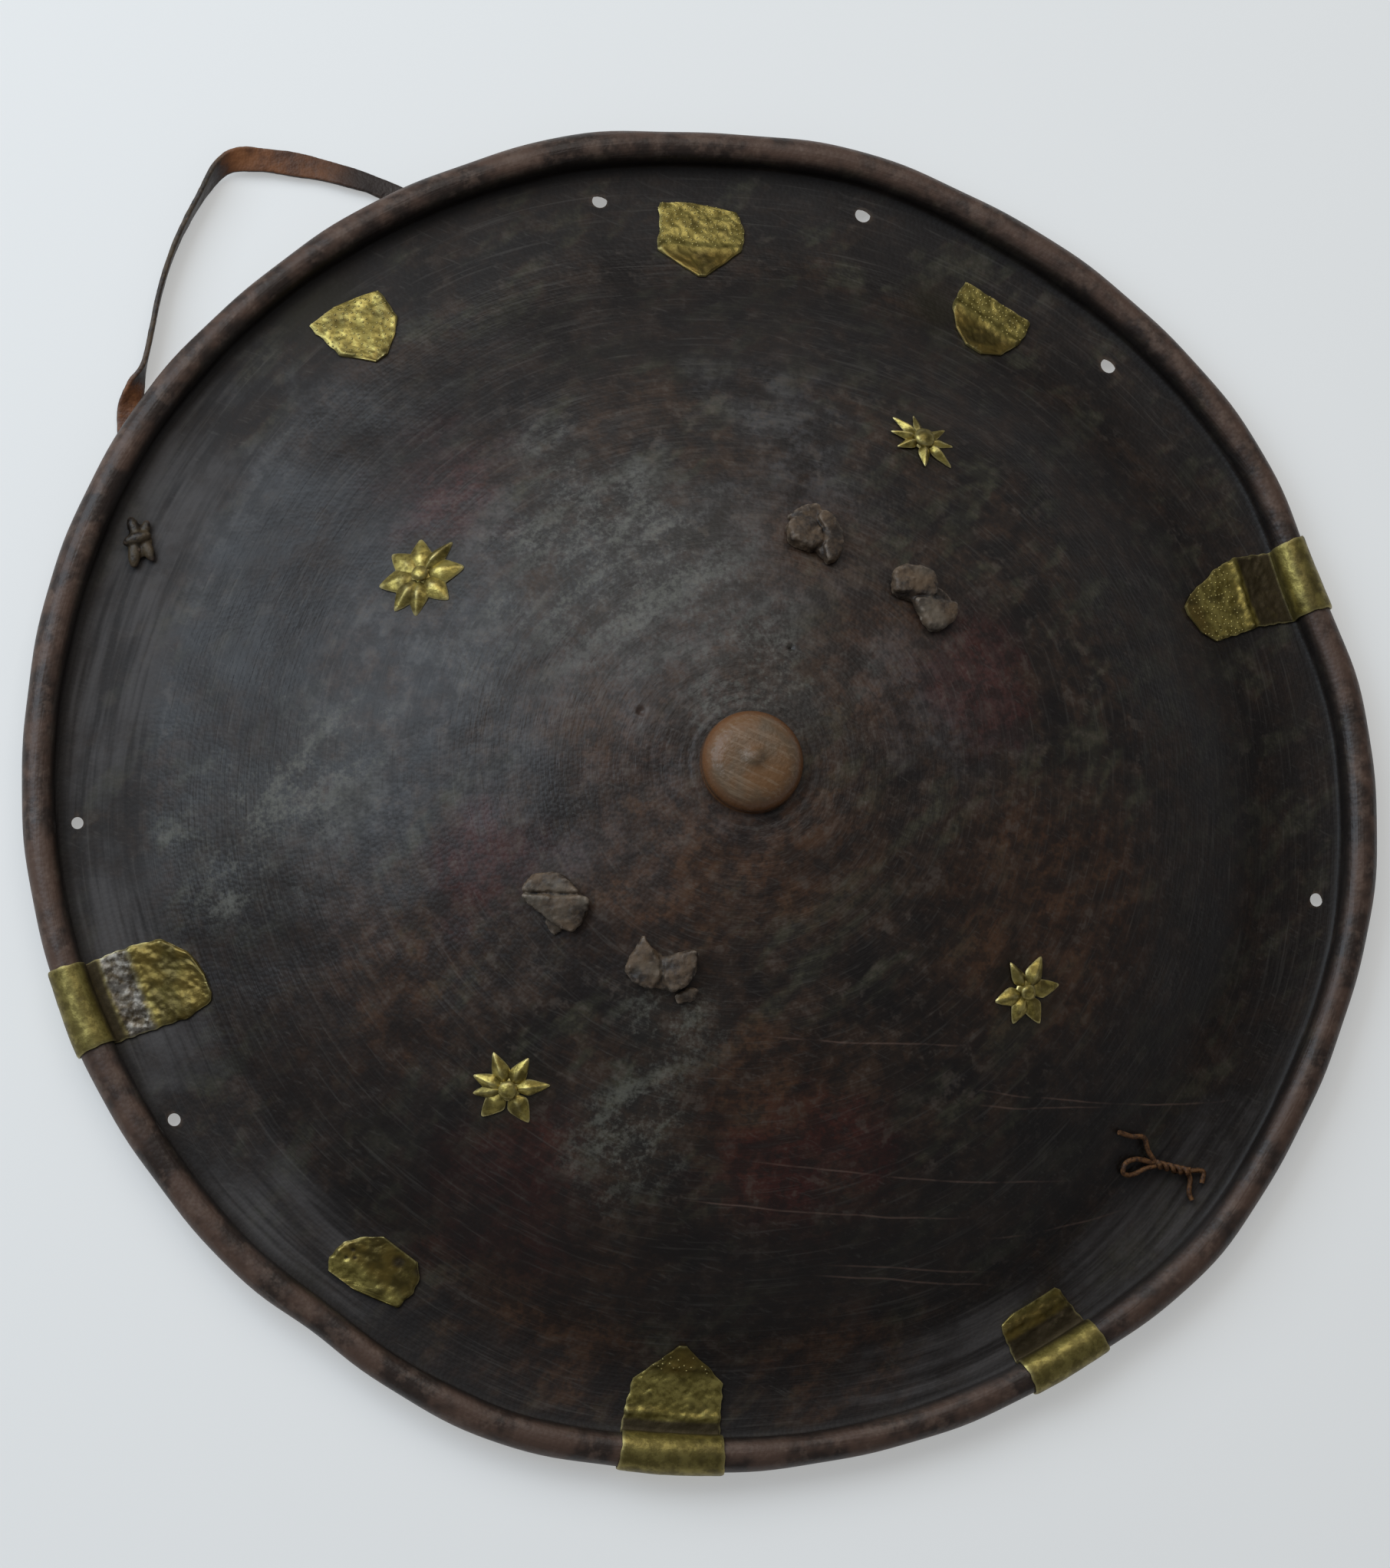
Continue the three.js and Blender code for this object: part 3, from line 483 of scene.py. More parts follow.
# Marks left by turning and rubbing: fine streaks round a centre.
w, given, result = effect(
    "Rubbed Round",
    [("Position", ARROW, (0, 0, 0)), ("Centre", ARROW, (0, 0, 0)), ("Across", NUMBER, 700.0),
     ("Along", NUMBER, 5.0), ("Wander", NUMBER, 0.012)],
    [("Value", NUMBER)])
away = w.vector("MULTIPLY", w.vector("SUBTRACT", given["Position"], given["Centre"]), (1, 1, 0))
drift = w.swing(w.noise(given["Position"], 9, 0), given["Wander"])
ring = w.times(w.plus(w.vector("LENGTH", away), drift), given["Across"])
heading = w.vector("SCALE", w.vector("NORMALIZE", away), None, None, given["Along"])
aim = w.vector("ADD", heading, w.add("ShaderNodeCombineXYZ", 0.0, 0.0, ring))
w.feed(result["Value"], w.noise(aim, 1.0, 2, 0.64))
rubbed_round = w.tree

# The grain of tanned hide: small cells over finer wrinkles.
w, given, result = effect(
    "Hide Grain",
    [("Position", ARROW, (0, 0, 0)), ("Scale", NUMBER, 500.0), ("Wrinkle", NUMBER, 0.5)],
    [("Height", NUMBER)])
cell = w.add("ShaderNodeTexVoronoi", voronoi_dimensions="2D", named={
    "Vector": given["Position"], "Scale": given["Scale"]}).outputs[0]
crack = w.noise(given["Position"], w.times(given["Scale"], 0.4), 1, 0.66)
w.feed(result["Height"], w.either(given["Wrinkle"], w.math("SUBTRACT", 1.0, cell), crack))
hide_grain = w.tree

# Smears left by wiping and handling, long one way: turned by Heading, drawn out by Stretch.
w, given, result = effect(
    "Wiped Smears",
    [("Position", ARROW, (0, 0, 0)), ("Heading", NUMBER, 0.6), ("Scale", NUMBER, 60.0),
     ("Stretch", NUMBER, 0.25)],
    [("Value", NUMBER)])
turned = w.add("ShaderNodeVectorRotate", rotation_type="Z_AXIS", named={
    "Vector": given["Position"], "Angle": given["Heading"]}).outputs[0]
drawn_out = w.vector("MULTIPLY", turned, w.add("ShaderNodeCombineXYZ", given["Stretch"], 1.0, 1.0))
w.feed(result["Value"], w.noise(drawn_out, given["Scale"], 2, 0.68))
wiped_smears = w.tree

# Ridges of a piece made lighter and its crevices darker: wear and dirt, and on some pieces a painted
# highlight and painted shade.
w, given, result = effect(
    "Ridges and Crevices",
    [("Position", ARROW, (0, 0, 0)), ("Amount", NUMBER, 0.5), ("Grain", NUMBER, 300.0)],
    [("Ridge", NUMBER), ("Crevice", NUMBER)])
sharp = w.add("ShaderNodeNewGeometry").outputs["Pointiness"]
edge = w.plus(sharp, w.swing(w.noise(given["Position"], given["Grain"], 2, 0.6), 0.06))
w.feed(result["Ridge"], w.times(w.step(edge, 0.51, 0.58), given["Amount"]))
w.feed(result["Crevice"], w.times(w.step(edge, 0.49, 0.42), given["Amount"]))
ridges_and_crevices = w.tree


def new_finish(name):
    finish = bpy.data.materials.new(name)
    finish.use_nodes = True
    shader = finish.node_tree.nodes["Principled BSDF"]
    wiring = Wiring(finish.node_tree)
    return finish, wiring, shader.inputs, wiring.add("ShaderNodeTexCoord").outputs["Object"]


SOOT, UMBER = (0.0096, 0.0071, 0.0060, 1), (0.034, 0.0190, 0.0115, 1)
MOSS_GREY, RUST_BROWN = (0.044, 0.041, 0.025, 1), (0.070, 0.031, 0.015, 1)
OXBLOOD, BLOOM_AND_SHEEN = (0.050, 0.0115, 0.0085, 1), (0.056, 0.0515, 0.0515, 1)
RUBBED, SCORED = (0.085, 0.066, 0.052, 1), (0.105, 0.095, 0.082, 1)
DUST, DULLED_SHEEN = (0.19, 0.183, 0.15, 1), (0.060, 0.053, 0.050, 1)
BRASS_STAIN, SCRATCH = (0.013, 0.0095, 0.0035, 1), (0.14, 0.088, 0.068, 1)
RIM_DARK, RIM_BROWN, RIM_WORN = (0.026, 0.0165, 0.0125, 1), (0.080, 0.046, 0.032, 1), (0.15, 0.098, 0.072, 1)
BOSS_RED, BOSS_TAN, BOSS_PALE = (0.14, 0.070, 0.030, 1), (0.105, 0.070, 0.042, 1), (0.2, 0.135, 0.085, 1)
BOSS_EDGE, WORN_EDGE = (0.12, 0.045, 0.013, 1), (0.13, 0.085, 0.055, 1)
INSIDE_DARK, RAW_HIDE = (0.07, 0.038, 0.02, 1), (0.15, 0.085, 0.042, 1)
DOME_MIDDLE = (0.0043, -0.0072, 0)
# Centre and radius of the circle each long scratch follows, then from x to x, all in millimetres.
SCRATCHES = [
    (70, 300, 448, 4, 136), (52, 450, 611, -20, 96), (55, 110, 280, 96, 160), (120, 260, 378, 78, 206),
    (95, 200, 322, 84, 152), (70, 900, 1078, 34, 112), (80, 1000, 1182, 30, 112), (50, 600, 703, 4, 96)]

blackened_hide, w, skin_in, spot = new_finish("blackened_hide")
out_here, hollow_here = w.mark("out"), w.mark("hollow")
streak = w.use(rubbed_round, Position=spot, Centre=DOME_MIDDLE, Across=900.0, Along=6.0).outputs[0]
broad_streak = w.use(rubbed_round, Position=spot, Centre=DOME_MIDDLE, Across=240.0, Along=3.0).outputs[0]
grain = w.use(hide_grain, Position=spot, Scale=620.0, Wrinkle=0.55).outputs[0]
smear = w.use(wiped_smears, Position=spot, Heading=-0.75, Scale=85.0, Stretch=0.3).outputs[0]
hairs = w.use(wiped_smears, Position=spot, Heading=0.42, Scale=760.0, Stretch=0.05).outputs[0]
worn = w.use(ridges_and_crevices, Position=spot, Amount=0.8, Grain=240.0)
blotch = w.noise(w.vector("ADD", spot, (7, 2, 5)), 135, 3, 0.72)
dents = w.noise(w.vector("ADD", spot, (3, 1, 2)), 62, 1, 0.6)
mottle = w.noise(w.vector("ADD", spot, (3, 1, 2)), 48, 3, 0.7)
speck = w.noise(spot, 480, 2, 0.75)
torn = w.times(w.math("SUBTRACT", w.plus(w.noise(spot, 14, 2, 0.6), mottle), 1.0), 2.0)


def patch(name, strength, torn_edge=torn):
    return w.use(worn_patch, Far=w.mark("far_from_" + name), Torn=torn_edge, Strength=strength).outputs[0]


# Where things are, by distance out: the steep wall, the flat flange, the groove, the rim and the boss.
wall = w.times(w.step(out_here, 0.145, 0.168), w.step(out_here, 0.212, 0.19))
flange = w.step(out_here, 0.2, 0.214)
groove = w.times(w.step(out_here, 0.2325, 0.2365), w.step(out_here, 0.2405, 0.2375))
on_rim, on_boss = w.step(out_here, 0.2375, 0.242, 0.0, 0.95), w.step(out_here, 0.0186, 0.0176)

# Masks of what has happened to the face.
# Bloom: a grey film on the hide, laid mostly over the upper left, where it is also a painted sheen.
cloudy = w.plus(smear, w.times(speck, 0.5))
bloom_and_sheen = patch("bloom", w.step(cloudy, 0.52, 0.92, 0.0, 0.85))
dusty = patch("dust", w.step(w.plus(speck, smear), 0.92, 1.3, 0.04, 0.40))
# Rim bloom: partly a dull grey film and partly a painted sheen on the flange.
dulled_and_sheen = patch("rim_bloom", w.times(flange, w.step(broad_streak, 0.34, 0.62, 0.1, 0.85)))
scored = w.step(w.math("MAXIMUM", streak, w.math("SUBTRACT", hairs, 0.02)), 0.54, 0.74)
wander = w.swing(w.noise(spot, 38, 1), 0.0022)
scratched = 0.0
for cx, cy, radius, x_from, x_to in SCRATCHES:
    mark = w.use(hairline, Position=spot, Centre=(cx * MM, cy * MM, 0), Radius=radius * MM,
                 From=x_from * MM, To=x_to * MM, Width=0.0005, Wander=wander)
    scratched = w.math("MAXIMUM", scratched, mark)

# The rim and the boss are rubbed down to brown.
rim_colour = w.layers(
    w.blend(w.step(mottle, 0.38, 0.60), RIM_DARK, RIM_BROWN),
    (RIM_WORN, w.step(blotch, 0.5, 0.66), 0.35))
boss_colour = w.layers(
    w.blend(w.step(mottle, 0.40, 0.62), BOSS_RED, BOSS_TAN),
    (BOSS_PALE, w.step(hairs, 0.5, 0.66), 0.5),
    (BOSS_EDGE, w.step(out_here, 0.0145, 0.0176, 0.0, 0.8)))
inside_colour = w.blend(w.step(mottle, 0.35, 0.68), INSIDE_DARK, RAW_HIDE)
colour = w.layers(
    w.blend(w.step(mottle, 0.38, 0.62), SOOT, UMBER),
    (MOSS_GREY, w.step(smear, 0.50, 0.66), 0.75),
    (RUST_BROWN, patch("rust", w.step(smear, 0.36, 0.62, 0.25, 0.85))),
    (BLOOM_AND_SHEEN, bloom_and_sheen),
    (OXBLOOD, patch("oxblood", 0.7)),
    (SOOT, w.step(blotch, 0.56, 0.40), 0.62),
    (RUBBED, w.step(blotch, 0.55, 0.68), 0.4),
    # Painted shade: the steep wall of the dome is darkened all round.
    (SOOT, wall, 0.6),
    (SOOT, flange, w.step(smear, 0.62, 0.42, 0.3, 0.75)),
    (SCORED, scored, 0.2),
    (SOOT, w.step(broad_streak, 0.54, 0.36), 0.4),
    (DUST, dusty),
    (DULLED_SHEEN, dulled_and_sheen),
    (BRASS_STAIN, patch("stain", 0.8, w.times(torn, 0.3))),
    (SCRATCH, scratched, w.step(mottle, 0.34, 0.6), 0.55),
    (rim_colour, on_rim),
    # Painted shade in the groove beside the bead, over the hide's own darker colour there.
    (SOOT, groove, 0.7),
    (boss_colour, on_boss),
    (WORN_EDGE, worn.outputs["Ridge"], 0.5),
    (inside_colour, hollow_here))
w.feed(skin_in["Base Color"], colour)

gloss = w.plus(w.either(bloom_and_sheen, 0.42, 0.50), w.swing(mottle, 0.35))
gloss = w.plus(gloss, w.times(dusty, 0.3))
gloss = w.either(w.times(flange, w.step(out_here, 0.24, 0.235)), gloss, 0.66)
gloss = w.either(hollow_here, gloss, 0.82)
w.feed(skin_in["Roughness"], w.either(on_boss, gloss, 0.34))
skin_in["Specular IOR Level"].default_value = 0.27
height = w.plus(w.plus(w.times(grain, 0.5), w.times(streak, 0.45)), w.times(dents, 1.1))
w.feed(skin_in["Normal"], w.bump(height, 0.00045, 0.8))

hide_shell.data.materials.append(blackened_hide)
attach(hide_shell, "root")
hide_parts("hide_disc")

# ==================================================================== THE GRIPS
# Two straps of thick leather hang under the dome, one for each side of the hand.
# Each end comes up through a slot and is folded flat on the face, as a toggle
# that can't slip back. The leather has dried hard, brown and cracked.
GRIP_WIDTH, GRIP_THICKNESS, GRIP_EDGE, GRIP_SAG, GRIP_DROP = 17.0, 4.0, 1.3, 22.0, 4.4
# Folded leather of each toggle: outline round its slot, height over the hide,
# then how far its right and its top edge stand above or below its left and foot.
FOLDS = {
    "upper_left": [
        ([(-12.2, 1.4), (-9.9, 4.1), (-5.9, 5), (-1.4, 3.2), (0.9, -0.9), (1.4, -5.4), (-2.7, -8.1),
          (-7.2, -7.2), (-11.3, -5.4)], 6.4, -0.8, 0.6),
        ([(-11.7, 5.9), (-6.3, 9.9), (0.5, 11.3), (1.8, 8.1), (-0.5, 6.4), (-6, 4.4), (-9, 3.9)],
         4.2, 0.6, 0.8),
        ([(0.9, 8.6), (5.4, 6.3), (8.6, 1.4), (9, -5.4), (6.3, -11.3), (2.3, -13), (0.9, -9), (1.6, -4.5),
          (1.4, 0), (-0.9, 4.5)], 5.6, -2.2, 0.4)],
    "upper_right": [
        ([(-12.6, 7.2), (-7.2, 9.5), (3.4, 8.1), (3.8, -3.0), (-5.9, -2.6), (-13, -2.1)], 6.2, 0.4, 0.8),
        ([(-5.9, -3.2), (12.4, -2.9), (11.3, -9), (6.3, -14), (0.9, -15.2), (-2.7, -9.9)], 5.0, -0.8, 1.6),
        ([(3.8, 3.6), (9, 1), (11, -2.9), (3.8, -3)], 2.6, -0.4, 0.4)],
    "lower_left": [
        ([(-12.6, 2.9), (-9.9, 7.2), (-6.8, 9.9), (1.4, 9.9), (5.4, 6.4), (9, 2.9), (0, 2.6)],
         5.6, 0.2, -1.4),
        ([(-12.4, 2.0), (0, 1.7), (9, 2.1), (12.6, 0.5), (10.4, -6.3), (6.3, -11.7), (0, -8.6),
          (-4.5, -5.4), (-9, -1.8)], 6.2, -0.8, 1.8),
        ([(-4.5, -7.2), (0, -6.3), (2.7, -10.4), (-0.9, -12.6)], 2.6, 0.2, 0.5)],
    "lower_right": [
        ([(-14, -0.5), (-11.7, 4.5), (-7.2, 12.2), (-4, 7.2), (-1.1, 3.6), (-0.4, -3.4), (-3.6, -7.2),
          (-9.9, -5.4)], 5.4, 1.0, -0.8),
        ([(-0.3, 3.6), (5.4, 5.9), (12.2, 7.7), (11.7, -0.9), (9, -5.4), (2.7, -8.6), (0.1, -3.6)],
         6.0, 0.8, -1.0),
        ([(3.6, -9.5), (10.4, -5.9), (13.5, -7.2), (10.8, -11.7), (5.4, -12.6)], 2.2, 0.2, 0.3)],
}
FOLD_FOOT = 0.25  # the folds start this far over the face
# The doubled strap end under the folds: outline round its slot.
FOLD_BASES = {
    "upper_left": [
        (-11, 3.5), (-6, 6.4), (1, 8), (6.6, 3.5), (7.4, -4.3), (4.4, -9.6), (1, -11), (-1.3, -7.4),
        (-10, -5.6), (-11.8, -2.6)],
    "upper_right": [
        (-12, 6), (-8.7, 8.3), (-4, 9), (3.4, 6.6), (4.4, -2), (11, -3.2), (9, -9.6), (1, -13.4),
        (-5, -4), (-12, -2.4)],
    "lower_left": [
        (-12, 2.6), (-8.7, 7.4), (-2.6, 9.6), (6, 5.8), (11.4, -0.9), (9.8, -6), (5.6, -10.6), (0, -8.6),
        (-6, -4.2), (-12, 0)],
    "lower_right": [
        (-13, -1), (-10.6, 5), (-7, 10.4), (-3.5, 7), (0, 4), (7.8, 6.2), (11, 7), (11.2, 0),
        (3.5, -8), (-8.7, -5.4)],
}
FOLD_BASE_HEIGHT, FOLD_BASE_LEAN = 3.9, 0.3
GRIP_VOXEL = 0.55
# Size and wave of the wrinkles in the dried leather, coarse and fine.
GRIP_CREASES, GRIP_CRACKLE = (0.45, 4.2), (0.16, 1.5)
NECK_LENGTH, NECK_WIDTH, NECK_FOOT, NECK_TOP = 9.0, 4.4, -10, 2


def rounded_slab(outline, height, slope_x, slope_y, foot=FOLD_FOOT, curve=1.7):
    """A cushion-edged slab over an outline: rings in, up and over, with a leaning top."""
    rim = np.asarray(outline, float)
    near = np.concatenate([rim, rim[:1]])
    dense = np.concatenate([np.linspace(a, b, 10, endpoint=False) for a, b in zip(near[:-1], near[1:])])
    for _ in range(6):
        dense = (np.roll(dense, 1, 0) + 2 * dense + np.roll(dense, -1, 0)) / 4
    middle = dense.mean(0)
    heading = middle - dense
    reach = np.linalg.norm(heading, axis=1, keepdims=True)
    heading = heading / reach
    rings = []
    for turn in np.radians([-60, -25, 0, 30, 58, 80]):
        inset, raised = curve * (1 - math.cos(turn)), curve * math.sin(turn)
        level = foot + 0.6 * (curve + raised) if turn < 0 else height - curve + raised
        rings.append((dense + heading * inset, level))
    for share in (0.25, 0.5, 0.75):
        rings.append((dense + heading * (curve + (reach - curve) * share), height + 0.35 * share))
    wide, tall = np.ptp(rim[:, 0]), np.ptp(rim[:, 1])
    points = []
    for flat, level in rings:
        tilt = slope_x * (flat[:, 0] - middle[0]) / wide + slope_y * (flat[:, 1] - middle[1]) / tall
        lifted = level + tilt * np.clip((level - foot) / (height - foot), 0, 1)
        points.append(np.column_stack([flat, lifted]))
    return closed_skin(points[::-1], np.array([*middle, height + 0.45]), np.array([*middle, foot]))


def flat_section(width, thickness, edge):
    """Round-edged strip, as points round its section: across and through."""
    points = []
    for cx, cy, start in ((1, 1, 0), (-1, 1, 90), (-1, -1, 180), (1, -1, 270)):
        for part in range(5):
            turn = math.radians(start + 22.5 * part)
            points.append((cx * (width / 2 - edge) + edge * math.cos(turn),
                           cy * (thickness / 2 - edge) + edge * math.sin(turn)))
    return points


def strap_rings(route, width, thickness, twist, edge):
    """Sections of a strip that follows a route; its width lies level, turned by the twist in degrees."""
    ahead = np.gradient(route, axis=0)
    ahead /= np.linalg.norm(ahead, axis=1, keepdims=True)
    side = np.cross(ahead, (0, 0, 1))
    side /= np.linalg.norm(side, axis=1, keepdims=True)
    lift = np.cross(side, ahead)
    width, twist = np.broadcast_to(width, len(route)), np.radians(np.broadcast_to(twist, len(route)))
    rings = []
    for i, here in enumerate(route):
        across = side[i] * math.cos(twist[i]) + lift[i] * math.sin(twist[i])
        through = np.cross(across, ahead[i])
        section = flat_section(width[i], thickness, edge)
        rings.append(np.array([here + across * s + through * t for s, t in section]) * MM)
    return rings


def outward_faces(points, faces):
    """Turns the faces over where the body came out inside out."""
    points = np.asarray(points)
    volume = 0.0
    for face in faces:
        for k in range(1, len(face) - 1):
            volume += np.dot(points[face[0]], np.cross(points[face[k]], points[face[k + 1]]))
    return faces if volume > 0 else [tuple(reversed(face)) for face in faces]


def body_of(parts):
    """One list of points and faces from several closed parts."""
    points, faces = [], []
    for part_points, part_faces in parts:
        turned = outward_faces(part_points, part_faces)
        faces += [tuple(len(points) + i for i in face) for face in turned]
        points += [tuple(p) for p in part_points]
    return points, faces


def melted(piece, voxel):
    """Overlapping parts become one skin, as folds of one leather."""
    remesh = piece.modifiers.new("one skin", "REMESH")
    remesh.mode, remesh.voxel_size, remesh.use_smooth_shade = "VOXEL", voxel * MM, True
    soften = piece.modifiers.new("soften", "SMOOTH")
    soften.factor, soften.iterations = 0.5, 2
    return settle(piece)


def wrinkled(piece, size, wave, seed):
    """Moves each point along its normal by fractal noise, in millimetres."""
    mesh = piece.data
    shift = Vector((seed, seed * 0.7, seed * 1.3))
    offsets = [size * MM * noise.fractal(v.co / (wave * MM) + shift, 0.9, 2.1, 3) for v in mesh.vertices]
    normals = [v.normal.copy() for v in mesh.vertices]
    for vertex, offset, normal in zip(mesh.vertices, offsets, normals):
        vertex.co += normal * offset
    mesh.update()
    return piece


def grip_strap(start, end):
    """Points of one grip: its hanging strap, and at each end the neck and the folds."""
    under = Vector((0, 0, -(HIDE_THICKNESS + GRIP_DROP) * MM))
    ends = [seat(*TOGGLE_PLACES[k]) @ under / MM for k in (start, end)]
    share = np.linspace(0, 1, 34)
    arch = 4 * share * (1 - share)
    spread = share * 1.06 - 0.03
    route = np.outer(1 - spread, ends[0]) + np.outer(spread, ends[1])
    route[:, 2] -= GRIP_SAG * (np.sqrt(arch) + arch) / 2
    wide = GRIP_WIDTH + 0.5 * np.sin(9 * share) + 0.3 * np.sin(23 * share)
    parts = [closed_skin(strap_rings(route, wide, GRIP_THICKNESS, 3 * np.sin(7 * share), GRIP_EDGE))]
    for name in (start, end):
        here = seat(*TOGGLE_PLACES[name])
        parts.append(slot_punch(here, NECK_LENGTH, NECK_WIDTH, GRIP_TURN, NECK_FOOT, NECK_TOP))
        base = (FOLD_BASES[name], FOLD_BASE_HEIGHT, 0.0, FOLD_BASE_LEAN)
        for fold in [base] + FOLDS[name]:
            spots, faces = rounded_slab(*fold)
            parts.append(([here @ Vector(p * MM) for p in spots], faces))
    return body_of(parts)


DRY_DARK, DRY_BROWN, DRY_PALE = (0.020, 0.0135, 0.0095, 1), (0.100, 0.064, 0.037, 1), (0.12, 0.098, 0.072, 1)
DRY_EDGE, DRY_CREVICE_SHADE = (0.27, 0.215, 0.165, 1), (0.006, 0.0045, 0.004, 1)
dry_leather, w, skin_in, spot = new_finish("dry_leather")
grain = w.use(hide_grain, Position=spot, Scale=900.0, Wrinkle=0.8).outputs[0]
mottle = w.noise(spot, 130, 5, 0.68)
cloud = w.noise(w.vector("ADD", spot, (1, 4, 2)), 46, 2, 0.6)
worn = w.use(ridges_and_crevices, Position=spot, Amount=1.0, Grain=420.0)
w.feed(skin_in["Base Color"], w.layers(
    w.blend(w.step(mottle, 0.36, 0.64), DRY_DARK, DRY_BROWN),
    (DRY_PALE, w.step(cloud, 0.5, 0.66), 0.6),
    (DRY_EDGE, worn.outputs["Ridge"], 0.55),
    # Painted shade in the crevices between the folds.
    (DRY_CREVICE_SHADE, worn.outputs["Crevice"])))
w.feed(skin_in["Roughness"], w.step(mottle, 0.3, 0.7, 0.46, 0.72))
skin_in["Specular IOR Level"].default_value = 0.32
w.feed(skin_in["Normal"], w.bump(w.plus(w.times(grain, 0.5), mottle), 0.0005, 0.9))

for side, seed in (("left", 3), ("right", 8)):
    grip = new_piece("grip_" + side, *grip_strap("lower_" + side, "upper_" + side))
    melted(grip, GRIP_VOXEL)
    wrinkled(grip, *GRIP_CREASES, seed)
    wrinkled(grip, *GRIP_CRACKLE, seed + 40)
    round_off(grip, 70)
    grip.data.materials.append(dry_leather)
    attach(grip, "root")
    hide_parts("grip_strap_" + side)

# ============================================================ THE CARRYING LOOP
# A thong of red-brown leather, doubled and knotted through a lace hole. It runs
# out under the rim where the rim has lifted, on its edge round the bight, and
# comes back flat inside the hollow. The knot's turns lie on the face.
# Route under and round the rim: x, y, z, width, twist in degrees.
THONG_ROUTE = [
    (-205.5, 79, 1.3, 8, 0), (-208, 96, 1.3, 10, 0), (-211.5, 118, 1.3, 10, 0), (-213.4, 136, 1.8, 10, 0),
    (-212, 145, 4, 9, 45), (-209.2, 153, 5.1, 9.6, 86), (-206.5, 167, 5.2, 10, 90), (-204, 181, 5.3, 10, 90),
    (-200, 196, 5.3, 10, 90), (-194.8, 209, 5.3, 10, 88), (-188.6, 221, 5.5, 10, 82),
    (-183.2, 229.8, 5.6, 9.6, 62), (-177, 234.2, 5, 9, 30), (-168.5, 235, 4, 9.3, 8),
    (-158, 234.4, 3.2, 9.3, 2), (-147, 233, 2.6, 9, -3), (-136, 230.6, 2.5, 8.4, -14),
    (-125, 227.5, 2.2, 8, -12), (-114, 222, 1.8, 9, 0), (-107, 212.5, 1.3, 10, 0), (-107, 200, 1.3, 10, 0),
    (-113, 186, 1.3, 10, 0), (-124, 168, 1.3, 10, 0), (-140, 145, 1.3, 10, 0), (-158, 122, 1.3, 10, 0),
    (-177, 101, 1.3, 10, 0), (-193, 87, 1.3, 10, 0), (-204, 80, 1.3, 9, 0)]
THONG_THICKNESS, THONG_EDGE, THONG_VOXEL = 2.0, 0.75, 0.42
THONG_WRINKLES = (0.12, 3.2)
# The doubled end of the thong, where its two runs meet under the knot.
FOOT_LOW, FOOT_HIGH = (-214.4, 78.0, 0.3), (-202.4, 87.0, 2.3)
# The knot: each turn's place beside the hole, then length, width, height, heading.
KNOT_TURNS = [
    (4.6, 0.2, 10, 4.6, 5.0, 12), (-4.4, 1.6, 11.5, 4.8, 4.6, -10), (-4.0, -3.4, 10, 4.2, 3.8, 16),
    (0.4, -0.2, 5, 11.0, 6.0, 8), (4.0, -3.6, 7, 3.6, 3.4, -24), (0, -1, 13, 9, 3.0, 0)]
KNOT_TURN = math.radians(100)
KNOT_NECK_RADIUS, KNOT_NECK_SIDES, KNOT_NECK_FOOT, KNOT_NECK_TOP = 1.9, 16, -7.8, 1.8


def smooth_route(stops, per_span=7):
    """A Catmull-Rom curve through the stops, all their columns together."""
    stops = np.asarray(stops, float)
    ends = np.concatenate([2 * stops[:1] - stops[1:2], stops, 2 * stops[-1:] - stops[-2:-1]])
    rows = []
    for a, b, c, d in zip(ends[:-3], ends[1:-2], ends[2:-1], ends[3:]):
        for t in np.arange(per_span) / per_span:
            rows.append(b + 0.5 * t * (c - a + t * (2 * a - 5 * b + 4 * c - d + t * (3 * b - 3 * c + d - a))))
    rows.append(stops[-1])
    return np.array(rows)


def ball(radii, frame_here, columns=18, rows=9):
    """Points and faces of a ball with three radii."""
    def on_ball(tilt, turn):
        ways = (math.sin(tilt) * math.cos(turn), math.sin(tilt) * math.sin(turn), math.cos(tilt))
        return frame_here @ Vector([way * radius * MM for way, radius in zip(ways, radii)])

    turns = [2 * math.pi * i / columns for i in range(columns)]
    rings = [np.array([on_ball(math.pi * k / rows, turn) for turn in turns]) for k in range(1, rows)]
    return closed_skin(rings, on_ball(0, 0), on_ball(math.pi, 0))


route = smooth_route(THONG_ROUTE)
wide = route[:, 3] + 0.35 * np.sin(np.arange(len(route)) * 0.455)
parts = [closed_skin(strap_rings(route[:, :3], wide, THONG_THICKNESS, -route[:, 4], THONG_EDGE))]
knot_at = seat(*LACE_AT)
for x, y, long, wide, tall, heading in KNOT_TURNS:
    there = Matrix.Translation(Vector((x, y, tall / 2 + 0.2)) * MM)
    turned = Matrix.Rotation(KNOT_TURN, 4, "Z") @ there @ Matrix.Rotation(math.radians(heading), 4, "Z")
    parts.append(ball((long / 2, wide / 2, tall / 2), knot_at @ turned))
parts.append(punch(knot_at, KNOT_NECK_RADIUS, KNOT_NECK_SIDES, KNOT_NECK_FOOT, KNOT_NECK_TOP))
corners = [[(FOOT_HIGH if k >> i & 1 else FOOT_LOW)[i] for i in range(3)] for k in range(8)]
sides = [(0, 1, 3, 2), (4, 6, 7, 5), (0, 4, 5, 1), (2, 3, 7, 6), (0, 2, 6, 4), (1, 5, 7, 3)]
parts.append((np.array(corners) * MM, sides))
loop = new_piece("carrying_thong", *body_of(parts))
melted(loop, THONG_VOXEL)
wrinkled(loop, *THONG_WRINKLES, 12)
round_off(loop, 70)

